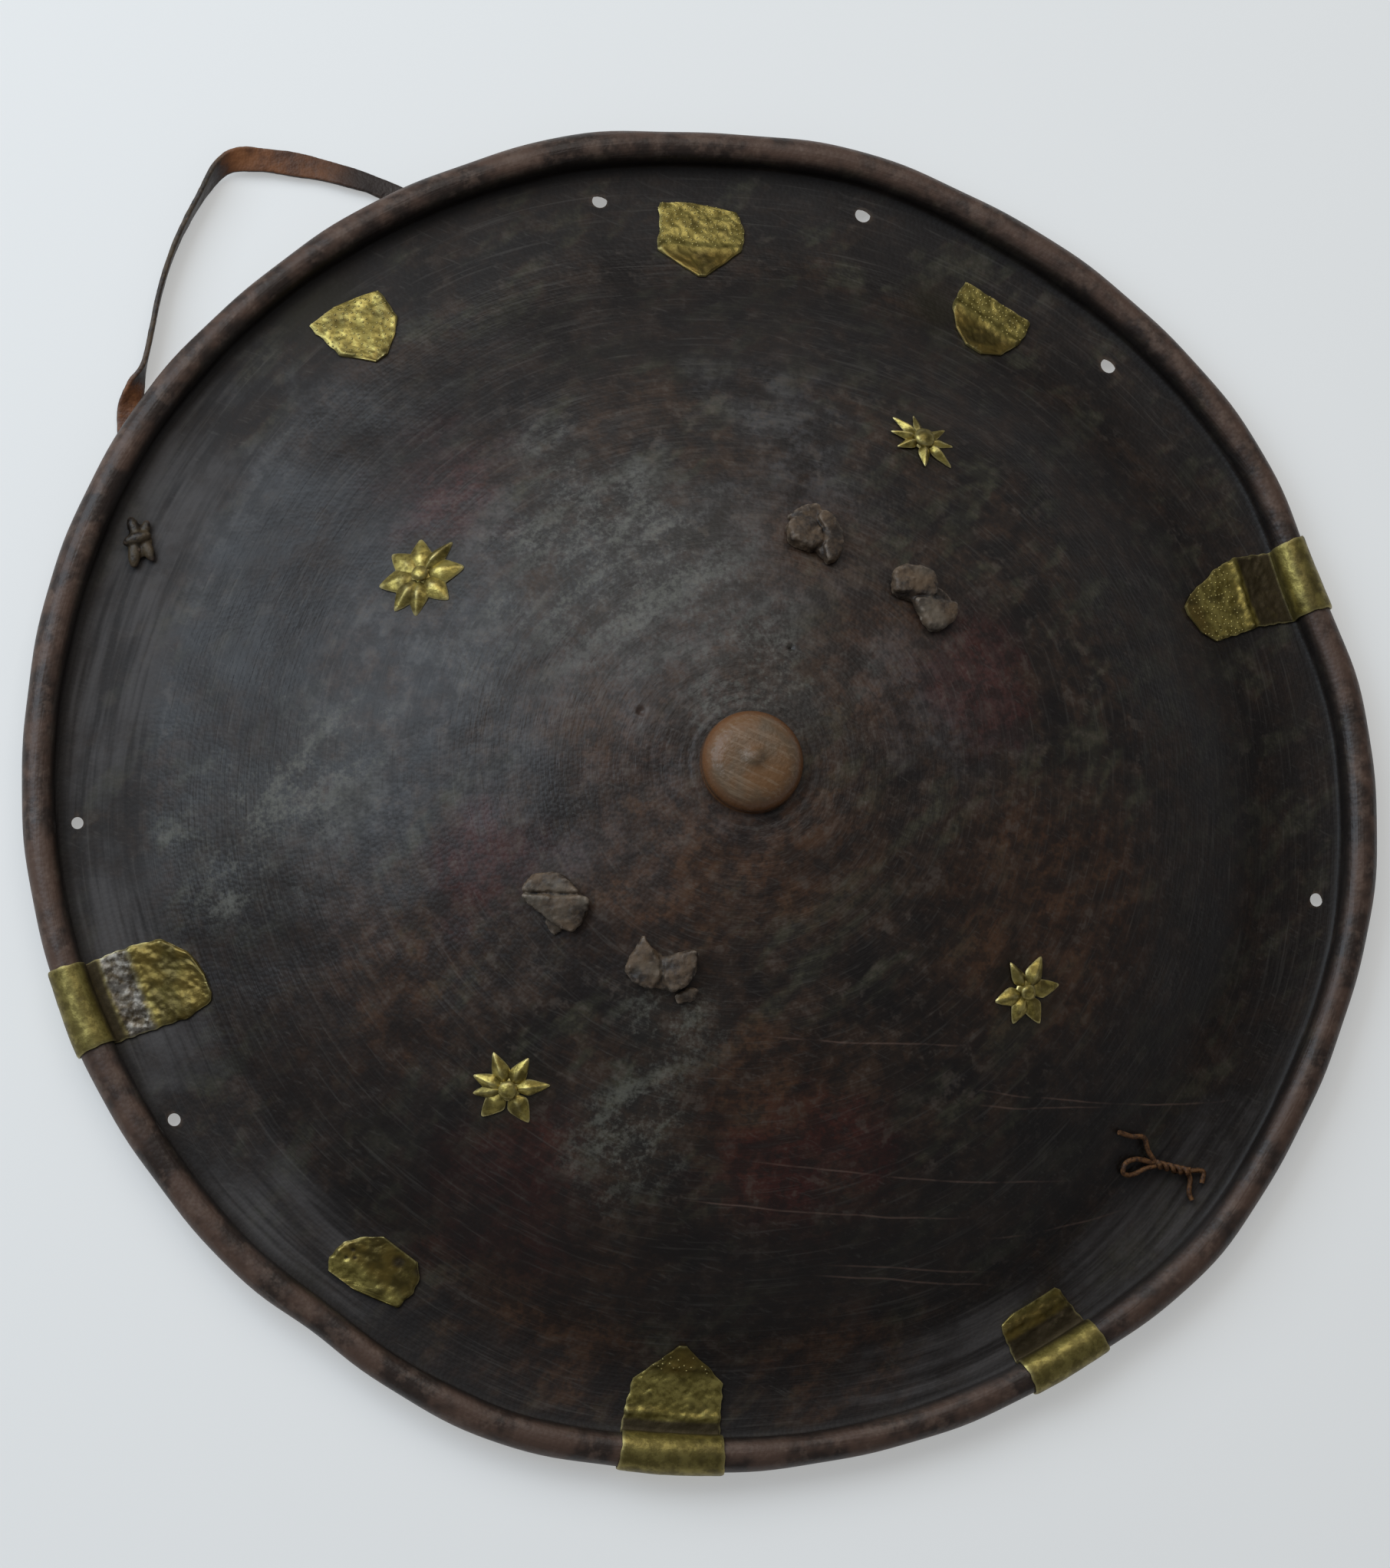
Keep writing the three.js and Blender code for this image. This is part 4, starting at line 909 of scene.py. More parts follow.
THONG_DARK, THONG_RED = (0.060, 0.022, 0.010, 1), (0.21, 0.078, 0.026, 1)
THONG_THUMBED, THONG_WORN = (0.052, 0.024, 0.016, 1), (0.22, 0.15, 0.11, 1)
THONG_SIDE_SHADE, THONG_END = (0.024, 0.014, 0.0115, 1), (0.020, 0.0125, 0.010, 1)
KNOT_DARK, KNOT_BROWN = (0.009, 0.0062, 0.0045, 1), (0.056, 0.038, 0.019, 1)
red_leather, w, skin_in, spot = new_finish("red_leather")
grain = w.use(hide_grain, Position=spot, Scale=1100.0, Wrinkle=0.7).outputs[0]
mottle = w.noise(spot, 95, 5, 0.66)
worn = w.use(ridges_and_crevices, Position=spot, Amount=0.9, Grain=420.0)
heading_up = w.add("ShaderNodeSeparateXYZ", w.add("ShaderNodeNewGeometry").outputs["Normal"]).outputs[2]
sideways, _, upwards = w.add("ShaderNodeSeparateXYZ", spot).outputs
w.feed(skin_in["Base Color"], w.layers(
    w.blend(w.step(mottle, 0.32, 0.68), THONG_DARK, THONG_RED),
    (THONG_THUMBED, w.step(w.noise(spot, 26, 2), 0.42, 0.6), 0.5),
    # Painted shade: the sides and underside of the thong are darkened, by how far their faces turn from up.
    (THONG_SIDE_SHADE, w.step(heading_up, 0.75, 0.3)),
    (THONG_END, w.step(sideways, -0.156, -0.128)),
    (w.blend(w.step(mottle, 0.42, 0.6), KNOT_DARK, KNOT_BROWN), w.step(upwards, 0.0075, 0.0105)),
    (THONG_WORN, worn.outputs["Ridge"], 0.5)))
w.feed(skin_in["Roughness"], w.step(mottle, 0.3, 0.7, 0.4, 0.62))
skin_in["Specular IOR Level"].default_value = 0.35
w.feed(skin_in["Normal"], w.bump(w.plus(grain, mottle), 0.0003, 0.8))
loop.data.materials.append(red_leather)
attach(loop, "root")
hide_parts("carrying_loop")

# ================================================================ THE WIRE TIE
# A repair in soft iron wire: two strands are twisted over the flange, their ends
# bent into an eye and a tail, and stitched through two holes. All of it rusts.
WIRE_RADIUS = 0.92
# Every point is a distance out, a bearing and a height over the hide.
WIRES = [
    [(207, 320.5, 2.4), (203, 319.9, 2), (199, 319.3, 1.6), (196.6, 318.2, 1.6), (198.6, 317.3, 1.6),
     (202, 317.8, 1.6), (204.4, 319.2, 2), (207, 320.2, 2.4)],
    [(206.5, 320.4, 2.6), (200.5, 320.8, 2), (195.6, 321.5, 1.6), (191, 320.6, 1.6), (185.8, 319.9, 1.6)],
    [(206.5, 320.4, 2.2), (203.4, 320, 1), (203.4, 320, -5.8), (207.4, 320.4, -7.6), (213, 321, -7.4),
     (217, 321.4, -5.6), (217, 321.4, 1), (220, 321.9, 2), (226, 322.9, 1.9), (228.6, 322, 1.7)],
    [(219.6, 321.9, 2.4), (223.4, 321.6, 2), (226.5, 320.6, 1.6), (229.4, 320.2, 1.7)]]
STEM_FROM, STEM_TO, STEM_TURNS = (206, 320.3), (221, 322), 2.5
STEM_MIDDLE, STEM_SWING, STEM_SPREAD = 2.6, 0.95, 0.25


def twisted_strand(phase):
    """One strand of the twisted stem, as distance out, bearing and height."""
    share = np.linspace(0, 1, 48)
    turn = math.radians(phase) + share * STEM_TURNS * 2 * math.pi
    out, at = (first + (last - first) * share for first, last in zip(STEM_FROM, STEM_TO))
    return np.column_stack([out, at + STEM_SPREAD * np.cos(turn), STEM_MIDDLE + STEM_SWING * np.sin(turn)])


class Growing(Wiring):
    """A Geometry Nodes tree with named number inputs, ended by Realize Instances and Set Material."""

    def __init__(self, name, numbers, finish):
        super().__init__(bpy.data.node_groups.new(name, "GeometryNodeTree"))
        face = self.tree.interface
        face.new_socket("Geometry", in_out="INPUT", socket_type="NodeSocketGeometry")
        for label, (kind, value) in numbers.items():
            face.new_socket(label, in_out="INPUT", socket_type=kind).default_value = value
        face.new_socket("Geometry", in_out="OUTPUT", socket_type="NodeSocketGeometry")
        self.given = self.add("NodeGroupInput").outputs
        self.finish = finish

    def joined(self, *parts):
        both = self.add("GeometryNodeJoinGeometry")
        for part in parts:
            self.feed(both.inputs[0], part)
        return both

    def end(self, geometry):
        real = self.add("GeometryNodeRealizeInstances", geometry)
        painted = self.add("GeometryNodeSetMaterial", named={"Geometry": real, "Material": self.finish})
        self.add("NodeGroupOutput", painted)
        return self.tree


def grow(piece, tree, **values):
    """Runs a Geometry Nodes tree on a piece and keeps what it makes."""
    modifier = piece.modifiers.new(tree.name, "NODES")
    modifier.node_group = tree
    for socket in tree.interface.items_tree:
        name = socket.name.replace(" ", "_").lower()
        if socket.in_out == "INPUT" and name in values:
            modifier[socket.identifier] = values[name]
    return settle(piece)


RUST_DARK, RUST_ORANGE = (0.050, 0.019, 0.006, 1), (0.18, 0.080, 0.025, 1)
BARE_IRON = (0.024, 0.018, 0.017, 1)
rusty_iron, w, skin_in, spot = new_finish("rusty_iron")
scale = w.noise(spot, 700, 4, 0.7)
crust = w.noise(w.vector("ADD", spot, (5, 5, 5)), 240, 3, 0.6)
w.feed(skin_in["Base Color"], w.layers(
    w.blend(w.step(scale, 0.35, 0.65), RUST_DARK, RUST_ORANGE),
    (BARE_IRON, w.step(crust, 0.55, 0.7), 0.7)))
skin_in["Metallic"].default_value = 0.25
w.feed(skin_in["Roughness"], w.step(scale, 0.3, 0.7, 0.5, 0.85))
w.feed(skin_in["Normal"], w.bump(w.plus(scale, crust), 0.0003, 1.0))

w = Growing("Drawn Wire", {"Radius": (NUMBER, 0.001), "Sides": ("NodeSocketInt", 12)}, rusty_iron)
line = w.add("GeometryNodeMeshToCurve", w.given["Geometry"])
ring = w.add("GeometryNodeCurvePrimitiveCircle", named={
    "Resolution": w.given["Sides"], "Radius": w.given["Radius"]})
drawn = w.add("GeometryNodeCurveToMesh", named={"Curve": line, "Profile Curve": ring, "Fill Caps": True})
drawn_wire = w.end(drawn)

points, edges = [], []
for strand in [smooth_route(rows, 8) for rows in WIRES] + [twisted_strand(0), twisted_strand(180)]:
    edges += [(len(points) + i, len(points) + i + 1) for i in range(len(strand) - 1)]
    points += [seat(out, at) @ Vector((0, 0, above * MM)) for out, at, above in strand]
wire_tie = new_piece("wire_stitch", points, [], edges)
grow(wire_tie, drawn_wire, radius=WIRE_RADIUS * MM, sides=12)
round_off(wire_tie, 60)
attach(wire_tie, "root")
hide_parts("wire_tie")

# =========================================================== THE BRASS RIM PLATES
# Thin sheet brass, cut by hand and hammered over the flange. Four are clips, bent
# tightly round the rolled rim; four are loose leaves that lie on the flange. Their
# faces are punched with dots and scored. Where a clip dips into the rim's groove and over the bead, and at
# nail marks, its colour is darkened: tarnish with painted shade.
SHEET, SHEET_SEAT, CELL, RAGGED = 0.9, 0.3, 0.55, 0.16
BLOW_HEIGHT, BLOW_WAVE = 0.42, 4.2
SCORE_DEPTH, SCORE_WIDTH, SCORE_SWING, SCORE_TURNS = 0.25, 0.5, 1.2, 7
NAIL_DEPTH, EDGE_DROP = 0.35, 0.3
DOT_SPACING, DOT_RADIUS, DOT_FLATNESS = 1.5, 0.42, 0.6
# Rows: distance out, then the bearings of both sides. Folds: distance out, height
# and width of a crease. Dots, shade_and_tarnish (tarnish with painted shade), warm
# and silver: from and to, distances out. Zigzag: distances out of scored lines. Spots: nail marks.
PLATES = {
    "rim_clip_right": dict(
        rows=[
            (190.5, 22.8, 23.9), (194, 20.3, 24.6), (199.5, 18.7, 25), (210, 18.5, 25.5),
            (220.5, 18.3, 25.5), (237, 17.6, 24.4)],
        wraps=True, folds=[(219.5, 1.1, 1.6), (206, 0.35, 5)], dots=(194, 216), shade_and_tarnish=(222, 238),
        warm=(190, 198)),
    "rim_clip_left": dict(
        rows=[
            (199, 200.8, 203), (200.2, 199.3, 203.8), (202, 198.2, 204.2), (208.5, 196.6, 204.8),
            (220, 196.8, 204.9), (237, 197.6, 205)],
        wraps=True, folds=[(221.6, 0.35, 1.4), (209, 0.5, 8)], shade_and_tarnish=(232, 239.5), warm=(198, 220),
        silver=(221, 232)),
    "rim_clip_bottom": dict(
        rows=[
            (201.6, 266, 266.8), (206, 264.9, 268.2), (210, 264, 269.4), (216.5, 262.5, 271),
            (237, 262.4, 271.1)],
        wraps=True, folds=[(210.2, 0.4, 1.2), (229.5, 0.5, 1.4)], dots=(206, 212), shade_and_tarnish=(231.5, 239),
        warm=(201, 213), zigzag=(215.5, 220.5, 225.5)),
    "rim_clip_lower_right": dict(
        rows=[(219.6, 300, 304.9), (221.5, 298.5, 305.1), (237, 298.3, 305.5)],
        wraps=True, folds=[(224.5, 0.5, 1.6)], shade_and_tarnish=(228.5, 239), warm=(221, 231)),
    "rim_plate_top": dict(
        rows=[
            (196.4, 91.5, 92.4), (201.5, 89.2, 94.4), (206.5, 87.2, 96.2), (214, 86.8, 95.3),
            (221.3, 87.4, 95), (224.2, 92, 94.7)],
        folds=[(207, 0.45, 1.3), (216, 0.25, 4)], dots=(208, 223), warm=(196, 206)),
    "rim_plate_top_left": dict(
        rows=[
            (202, 127.4, 129), (206.5, 125.3, 130.2), (211, 124.1, 131.2), (222, 124, 131.4),
            (225.4, 128.6, 131.4)],
        folds=[(214, 0.35, 6)], dots=(204, 224), warm=(201, 204.5)),
    "rim_plate_top_right": dict(
        rows=[
            (197, 60, 62), (201.5, 57.9, 63.6), (208, 56.8, 64.5), (214, 56.4, 64.3),
            (220.3, 56.5, 63.9)],
        folds=[(209.5, 0.9, 1.8), (216, 0.4, 4)], dots=(210, 220), warm=(196, 208)),
    "rim_plate_lower_left": dict(
        rows=[
            (205, 234, 238.4), (209, 232.8, 239.4), (215, 231.8, 239.9), (223, 231.8, 239.6),
            (228, 232.8, 235.2)],
        folds=[(221, 0.9, 3.2), (213, 0.5, 4)], warm=(204, 219),
        spots=[
            (215.5, 232.9, 0.9), (217.6, 233.6, 0.8), (209, 236.9, 2.4), (219.4, 233, 0.7),
            (207, 239, 2)]),
}
PLAIN = dict(wraps=False, folds=[], dots=None, shade_and_tarnish=None, warm=None, silver=None, zigzag=(), spots=[])


def between(out, reach, soft=1.2):
    """1 between two distances out, with soft ends; 0 everywhere where there are none."""
    if reach is None:
        return np.zeros_like(out)
    first, last = reach
    return rise(out, first - soft, first + soft) * (1 - rise(out, last - soft, last + soft))


def plate_line(rows, wraps):
    """Section of the hide under a plate, and under a clip on round the bead."""
    first, last = rows[0][0], rows[-1][0]
    far = np.arange(first, 234.8 if wraps else last + 0.01, CELL)
    flat = [(u, float(dome_height(u))) for u in far]
    return np.array(flat + bead_line()[:-1] if wraps else flat)


def tooling(plate, out, at, share):
    """Height of the hammered face over the flat sheet, the masks of its colour (one of them tarnish with
    painted shade), and where dots are punched.
    """
    arc = np.radians(turn_from(at, at.mean())) * out
    blows = [noise.fractal(Vector((u / BLOW_WAVE, v / BLOW_WAVE, 0.3)), 0.8, 2.2, 4)
             for u, v in zip(out.flat, arc.flat)]
    height = BLOW_HEIGHT * np.array(blows).reshape(out.shape) * (1 - 0.85 * rise(out, 230, 237))
    for middle, size, width in plate["folds"]:
        bend = middle + 0.5 * np.sin(arc / 5)
        height += size * np.exp(-((out - bend) / width) ** 2)
    for middle in plate["zigzag"]:
        saw = np.abs((share * SCORE_TURNS) % 1 - 0.5) * 4 - 1
        height -= SCORE_DEPTH * np.exp(-((out - middle - SCORE_SWING * saw) / SCORE_WIDTH) ** 2)
    nails = np.zeros_like(out)
    for spot_out, spot_at, radius in plate["spots"]:
        far = np.hypot(out - spot_out, np.radians(at - spot_at) * spot_out) / radius
        nails = np.maximum(nails, np.exp(-far ** 4))
    height -= NAIL_DEPTH * nails
    # Tarnish with painted shade: in the rim's groove, over the bead and in the nail marks.
    shade_and_tarnish = np.maximum(between(out, plate["shade_and_tarnish"]), np.maximum(nails, 0.38 * rise(out, 239, 243)))
    masks = dict(shade_and_tarnish=shade_and_tarnish, warm=between(out, plate["warm"], 2.5), silver=between(out, plate["silver"], 1.6))
    return height, masks, between(out, plate["dots"])


def plate_body(plate):
    """Points, faces and masks of one plate: its face, its back, and the cut edge between them."""
    rows = np.array(plate["rows"], float)
    line = plate_line(plate["rows"], plate["wraps"])
    out = line[:, :1]
    low, high = (np.interp(line[:, 0], rows[:, 0], rows[:, k])[:, None] for k in (1, 2))
    low, high = (side + RAGGED * np.array([[noise.noise(Vector((u / 3.1, turn, 1.7)))] for u in line[:, 0]])
                 for side, turn in ((low, 0.2), (high, 5.2)))
    columns = max(int(math.radians(float((high - low).max())) * 220 / CELL), 12)
    share = np.linspace(0, 1, columns)[None, :]
    at = low + (high - low) * share
    far = np.broadcast_to(out, at.shape)
    height, masks, dotted = tooling(plate, far, at, np.broadcast_to(share, at.shape))
    edge = np.minimum(share, 1 - share) * np.radians(high - low) * out
    height = height * rise(edge, 0, 1.2) - EDGE_DROP * np.exp(-(edge / 0.5) ** 2)
    face = skin(line, at, SHEET_SEAT + SHEET + height).reshape(-1, 3)
    back = skin(line, at, SHEET_SEAT).reshape(-1, 3)
    n, m = at.shape
    index = np.arange(n * m).reshape(n, m)
    quads = [(index[i, j], index[i + 1, j], index[i + 1, j + 1], index[i, j + 1])
             for i in range(n - 1) for j in range(m - 1)]
    total = n * m
    faces = quads + [tuple(total + k for k in reversed(q)) for q in quads]
    border = list(index[0, :]) + list(index[1:, -1]) + list(index[-1, -2::-1]) + list(index[-2:0:-1, 0])
    faces += [(a, b, total + b, total + a) for a, b in zip(border, border[1:] + border[:1])]
    values = {name: np.tile(mask.ravel(), 2) for name, mask in masks.items()}
    values["dots"] = np.concatenate([dotted.ravel(), np.zeros(total)])
    return np.concatenate([face, back]), faces, values


BRASS_BROWN, BRASS_OCHRE = (0.052, 0.034, 0.007, 1), (0.145, 0.095, 0.019, 1)
TINNED_DARK, TINNED_PALE = (0.050, 0.035, 0.018, 1), (0.17, 0.148, 0.122, 1)
BRASS_SHADE_AND_TARNISH, BRASS_DIRT = (0.032, 0.022, 0.010, 1), (0.03, 0.022, 0.008, 1)
BRASS_BRIGHT = (0.55, 0.46, 0.20, 1)


def brass(name, light, mid, deep, shine):
    """Tarnished brass; the masks shade_and_tarnish (tarnish with painted shade), warm and silver are read
    where a piece has them.
    """
    finish, w, skin_in, spot = new_finish(name)
    shade_and_tarnish, warm, silver = (w.mark(mask) for mask in ("shade_and_tarnish", "warm", "silver"))
    mottle = w.noise(spot, 210, 5, 0.68)
    cloud = w.noise(w.vector("ADD", spot, (2, 7, 1)), 90, 2, 0.6)
    worn = w.use(ridges_and_crevices, Position=spot, Amount=1.0, Grain=520.0)
    brown = w.blend(w.step(cloud, 0.4, 0.6), BRASS_BROWN, BRASS_OCHRE)
    tinned = w.blend(w.step(w.noise(spot, 260, 3, 0.7), 0.36, 0.64), TINNED_DARK, TINNED_PALE)
    w.feed(skin_in["Base Color"], w.layers(
        w.blend(w.step(mottle, 0.40, 0.60), mid, light),
        (deep, w.step(cloud, 0.52, 0.66), 0.6),
        (brown, warm, w.step(mottle, 0.3, 0.55, 0.45, 0.9)),
        (tinned, silver),
        # Tarnish with painted shade where that mask lies.
        (BRASS_SHADE_AND_TARNISH, shade_and_tarnish, w.step(mottle, 0.2, 0.5, 0.75, 0.97)),
        # Ridges rubbed bright; on the stars, with their higher shine, this is also a painted highlight along
        # the crests.
        (BRASS_BRIGHT, worn.outputs["Ridge"], shine),
        (BRASS_DIRT, worn.outputs["Crevice"], 0.85)))
    skin_in["Metallic"].default_value = 0.75
    w.feed(skin_in["Roughness"], w.plus(w.step(mottle, 0.3, 0.7, 0.46, 0.30), w.times(shade_and_tarnish, 0.2)))
    w.feed(skin_in["Normal"], w.bump(w.plus(mottle, cloud), 0.0004, 0.7))
    return finish


plate_brass = brass(
    "plate_brass", light=(0.33, 0.265, 0.073, 1), mid=(0.165, 0.128, 0.029, 1),
    deep=(0.058, 0.043, 0.010, 1), shine=0.3)

w = Growing("Punched Dots", {
    "Spacing": (NUMBER, 0.0016), "Density": (NUMBER, 400000.0), "Radius": (NUMBER, 0.0005),
    "Flatness": (NUMBER, 0.5), "Seed": ("NodeSocketInt", 1)}, plate_brass)
where = w.add("GeometryNodeInputNamedAttribute", "dots").outputs[0]
scattered = w.add("GeometryNodeDistributePointsOnFaces", distribute_method="POISSON", named={
    "Mesh": w.given["Geometry"], "Distance Min": w.given["Spacing"], "Density Max": w.given["Density"],
    "Density Factor": where, "Seed": w.given["Seed"]})
bead = w.add("GeometryNodeMeshIcoSphere", named={"Radius": w.given["Radius"], "Subdivisions": 2})
size = w.add("ShaderNodeCombineXYZ", 1.0, 1.0, w.given["Flatness"])
dots = w.add("GeometryNodeInstanceOnPoints", named={
    "Points": scattered.outputs["Points"], "Instance": bead.outputs[0],
    "Rotation": scattered.outputs["Rotation"], "Scale": size})
punched_dots = w.end(w.joined(dots, w.given["Geometry"]))

for seed, (name, special) in enumerate(PLATES.items()):
    plate = {**PLAIN, **special}
    points, faces, values = plate_body(plate)
    sheet = new_piece("brass_" + name, points, faces)
    for mask, numbers in values.items():
        keep(sheet, mask, numbers)
    grow(sheet, punched_dots, spacing=DOT_SPACING * MM, radius=DOT_RADIUS * MM,
         flatness=DOT_FLATNESS, seed=seed)
    round_off(sheet, 48)
    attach(sheet, "root")
    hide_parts(name)

# ========================================================== THE STARS AND RIVETS
# Four small brass stars, each with ridged petals filed by hand, so that no two
# are alike. One domed brass rivet holds each, clenched under the hide.
# Each has its rivet's radius and crown, and then its petals: bearing, length, width
# and ridge height, in degrees and millimetres.
STARS = {
    "star_upper_left": (3.0, 1.5, [
        (5, 17.4, 7.0, 2.2), (46, 18.2, 4.4, 3.0), (90, 16, 6.4, 1.7), (137, 16, 6.8, 1.5),
        (188, 17.2, 7.0, 1.7), (232, 17.6, 6.4, 2.4), (262, 17.4, 5.6, 2.3), (312, 16, 6.4, 2.0)]),
    "star_upper_right": (4.0, 2.1, [
        (0, 13, 2.7, 1.2), (38, 13, 2.5, 1.0), (103, 13, 2.5, 1.1), (140, 15.5, 3.0, 2.0),
        (170, 13.5, 2.8, 2.0), (205, 12.5, 2.9, 2.0), (270, 13, 3.1, 2.0), (315, 16, 3.0, 2.6)]),
    "star_lower_left": (3.4, 2.0, [
        (9, 16.3, 4.0, 2.2), (60, 14.5, 4.4, 2.0), (115, 15.4, 4.6, 2.4), (162, 14.6, 4.4, 2.2),
        (190, 14, 3.8, 1.8), (228, 15, 5.4, 1.4), (304, 15, 5.6, 1.6)]),
    "star_lower_right": (2.8, 1.6, [
        (11, 15.3, 4.6, 1.2), (65, 15.4, 4.8, 2.4), (122, 13.6, 3.6, 2.0), (196, 14, 4.8, 2.2),
        (247, 13.4, 4.8, 2.0), (299, 14, 5.0, 1.4)]),
}
# Smoothing draws a petal in, so its block is cut this much larger each way.
PETAL_ALLOWANCE = (1.05, 1.85, 2.8)
STAR_SEAT, STAR_CURVE, STAR_HUB = 0.5, 640.0, 4.2
SHANK, CLENCH, RIVET_TOP = 1.2, 2.8, 1.9
# Size and wave of the filing left on a star, and of the dents in a rivet's head.
STAR_FILING, RIVET_DENTS = (0.12, 2.2), (0.15, 2.0)

star_brass = brass(
    "star_brass", light=(0.37, 0.29, 0.075, 1), mid=(0.15, 0.112, 0.024, 1),
    deep=(0.046, 0.033, 0.008, 1), shine=0.75)

w = Growing("Filed Star", {
    "Hub": (NUMBER, 0.0042), "Thickness": (NUMBER, 0.0008), "Roundness": (NUMBER, 0.4),
    "Curve": (NUMBER, 0.64)},
    star_brass)
# A petal is a spindle of two four-sided cones, one unit long and thickest at two fifths.
spindle = []
for depth, turn in ((0.6, 90), (0.4, -90)):
    cone = w.add("GeometryNodeMeshCone", named={
        "Vertices": 4, "Radius Top": 0.0, "Radius Bottom": 0.5, "Depth": depth}, fill_type="NONE")
    spindle.append(w.add("GeometryNodeTransform", named={
        "Geometry": cone.outputs[0], "Translation": (0.4, 0, 0), "Rotation": (0, math.radians(turn), 0)}))
petal = w.add("GeometryNodeMergeByDistance", named={"Geometry": w.joined(*spindle), "Distance": 0.001})
petal = w.add("GeometryNodeSubdivisionSurface", named={
    "Mesh": petal, "Level": 3, "Edge Crease": w.given["Roundness"], "Vertex Crease": w.given["Roundness"]})
bearing, size = (w.add("GeometryNodeInputNamedAttribute", name, data_type=kind).outputs[0]
                 for name, kind in (("bearing", "FLOAT"), ("size", "FLOAT_VECTOR")))
turn = w.add("ShaderNodeCombineXYZ", 0.0, 0.0, bearing)
petals = w.add("GeometryNodeInstanceOnPoints", named={
    "Points": w.given["Geometry"], "Instance": petal, "Rotation": turn, "Scale": size})
hub = w.add("GeometryNodeMeshUVSphere", named={"Segments": 24, "Rings": 12, "Radius": w.given["Hub"]})
hub = w.add("GeometryNodeTransform", named={"Geometry": hub.outputs[0], "Scale": (1, 1, 0.3)})
real = w.add("GeometryNodeRealizeInstances", w.joined(petals, hub))
x, y, z = w.add("ShaderNodeSeparateXYZ", w.add("GeometryNodeInputPosition")).outputs
drop = w.math("DIVIDE", w.plus(w.times(x, x), w.times(y, y)), w.given["Curve"])
level = w.math("SUBTRACT", w.math("MAXIMUM", z, 0.0), drop)
settled = w.add("GeometryNodeSetPosition", named={
    "Geometry": real, "Position": w.add("ShaderNodeCombineXYZ", x, y, level)})
filed_star = w.end(settled)

w = Growing("Domed Rivet", {
    "Head": (NUMBER, 0.0031), "Crown": (NUMBER, 0.0019), "Top": (NUMBER, 0.0028),
    "Shank": (NUMBER, SHANK * MM), "Clench": (NUMBER, CLENCH * MM), "Under": (NUMBER, -0.0061)}, star_brass)


def turned_ball(radius, height, level):
    """A flattened ball of the rivet's metal at a level."""
    sphere = w.add("GeometryNodeMeshUVSphere", named={"Segments": 24, "Rings": 14, "Radius": 1.0})
    return w.add("GeometryNodeTransform", named={
        "Geometry": sphere.outputs[0], "Scale": w.add("ShaderNodeCombineXYZ", radius, radius, height),
        "Translation": w.add("ShaderNodeCombineXYZ", 0.0, 0.0, level)})


length = w.math("SUBTRACT", w.given["Top"], w.given["Under"])
pin = w.add("GeometryNodeMeshCylinder", named={"Vertices": 20, "Radius": w.given["Shank"], "Depth": length})
middle = w.times(w.plus(w.given["Top"], w.given["Under"]), 0.5)
pin = w.add("GeometryNodeTransform", named={
    "Geometry": pin.outputs[0], "Translation": w.add("ShaderNodeCombineXYZ", 0.0, 0.0, middle)})
head = turned_ball(w.given["Head"], w.given["Crown"], w.given["Top"])
clench = turned_ball(w.given["Clench"], 0.0009, w.given["Under"])
domed_rivet = w.end(w.joined(head, pin, clench))

for seed, (name, (head, crown_height, petals)) in enumerate(STARS.items()):
    here = seat(*STAR_PLACES[name], above=STAR_SEAT)
    star = new_piece(name.replace("star", "brass_star"), [(0, 0, 0)] * len(petals), [])
    petals = np.array(petals)
    keep(star, "bearing", np.radians(petals[:, 0]))
    keep(star, "size", (petals[:, 1:] * PETAL_ALLOWANCE * MM).ravel(), "FLOAT_VECTOR", "vector")
    grow(star, filed_star, hub=STAR_HUB * MM, curve=STAR_CURVE * MM)
    wrinkled(star, *STAR_FILING, 20 + seed)
    rivet = new_piece(name.replace("star", "brass_rivet"), [(0, 0, 0)], [])
    grow(rivet, domed_rivet, head=head * MM, crown=crown_height * MM, top=RIVET_TOP * MM)
    wrinkled(rivet, *RIVET_DENTS, 30 + seed)
    for piece, node in ((star, name), (rivet, name.replace("star", "rivet"))):
        piece.data.transform(here)
        round_off(piece, 60)
        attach(piece, "root")
        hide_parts(node)

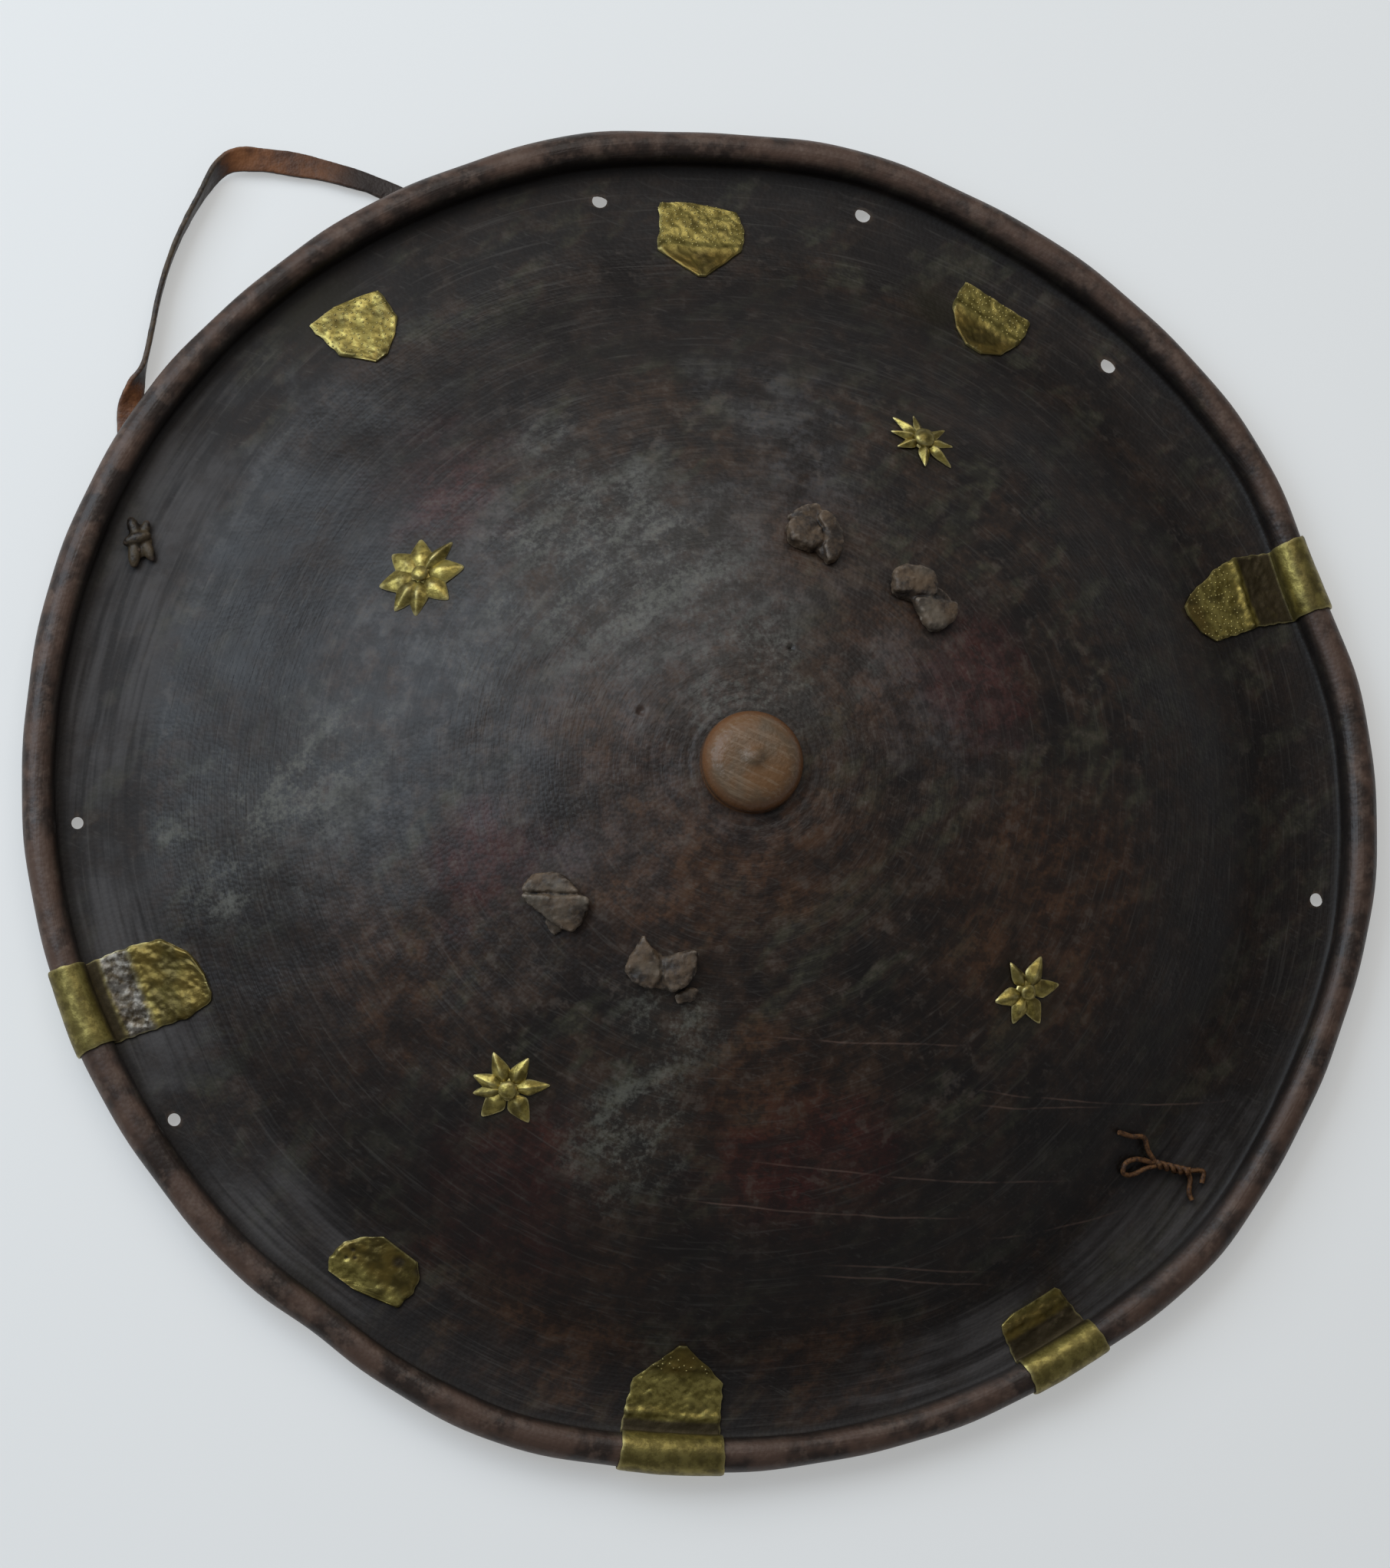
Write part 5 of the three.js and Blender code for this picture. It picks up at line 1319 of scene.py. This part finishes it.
# ============================================================ FLOOR AND LIGHTS
# A pale matt table under the shield, a wide cool window at the upper left and a
# soft warm ceiling light beyond the top.
pale_board, w, skin_in, spot = new_finish("pale_board")
skin_in["Base Color"].default_value = (0.46, 0.465, 0.465, 1)
skin_in["Roughness"].default_value = 0.9
skin_in["Specular IOR Level"].default_value = 0.2
skin_in["Emission Color"].default_value = (0.95, 0.96, 0.95, 1)
skin_in["Emission Strength"].default_value = 0.37
TABLE_REACH, TABLE_TOP = 4.0, -0.0002
corners = [(x * TABLE_REACH, y * TABLE_REACH, TABLE_TOP) for x, y in ((-1, -1), (1, -1), (1, 1), (-1, 1))]
table = new_piece("table", corners, [(0, 1, 2, 3)])
table.data.materials.append(pale_board)


def soft_light(name, place_at, size, power, colour):
    """A square lamp that looks at the middle of the table."""
    lamp = bpy.data.lights.new(name, "AREA")
    lamp.shape, lamp.size, lamp.energy, lamp.color = "SQUARE", size, power, colour
    holder = bpy.data.objects.new(name, lamp)
    bpy.context.collection.objects.link(holder)
    holder.location = place_at
    holder.rotation_euler = (-Vector(place_at)).to_track_quat("-Z", "Y").to_euler()


soft_light("window", (-1.3, 0.72, 1.3), 1.5, 31, (0.76, 0.88, 1.0))
soft_light("ceiling", (-0.1, 1.35, 1.9), 1.8, 17, (1.0, 0.95, 0.88))
room = bpy.data.worlds.new("room")
room.use_nodes = True
room.node_tree.nodes["Background"].inputs["Color"].default_value = (0.9, 0.94, 1.0, 1)
room.node_tree.nodes["Background"].inputs["Strength"].default_value = 0.2
bpy.context.scene.world = room
bpy.context.scene.view_settings.view_transform = "Standard"

# ====================================================================== CAMERA
# It looks down on the shield from 14.5 degrees off the vertical, from the lower
# left, and is aimed a little off the shield's middle.
TILT, SIDE, AWAY = math.radians(14.5), math.radians(237), 2.0
ASIDE, ABOVE, LENS = -0.0053, 0.00104, 141.63
look = Vector((0, 0, 0.011))
toward = Vector((math.sin(TILT) * math.cos(SIDE), math.sin(TILT) * math.sin(SIDE), math.cos(TILT)))
lens = bpy.data.cameras.new("view")
lens.sensor_fit, lens.sensor_width, lens.lens = "HORIZONTAL", 36.0, LENS
view = bpy.data.objects.new("view", lens)
bpy.context.collection.objects.link(view)
view.location = look + toward * AWAY
across = Vector((0, 1, 0)).cross(toward).normalized()
upward = toward.cross(across)
aim = look + across * ASIDE + upward * ABOVE
back = (view.location - aim).normalized()
across = Vector((0, 1, 0)).cross(back).normalized()
view.rotation_euler = Matrix((across, back.cross(across), back)).transposed().to_euler()
bpy.context.scene.camera = view
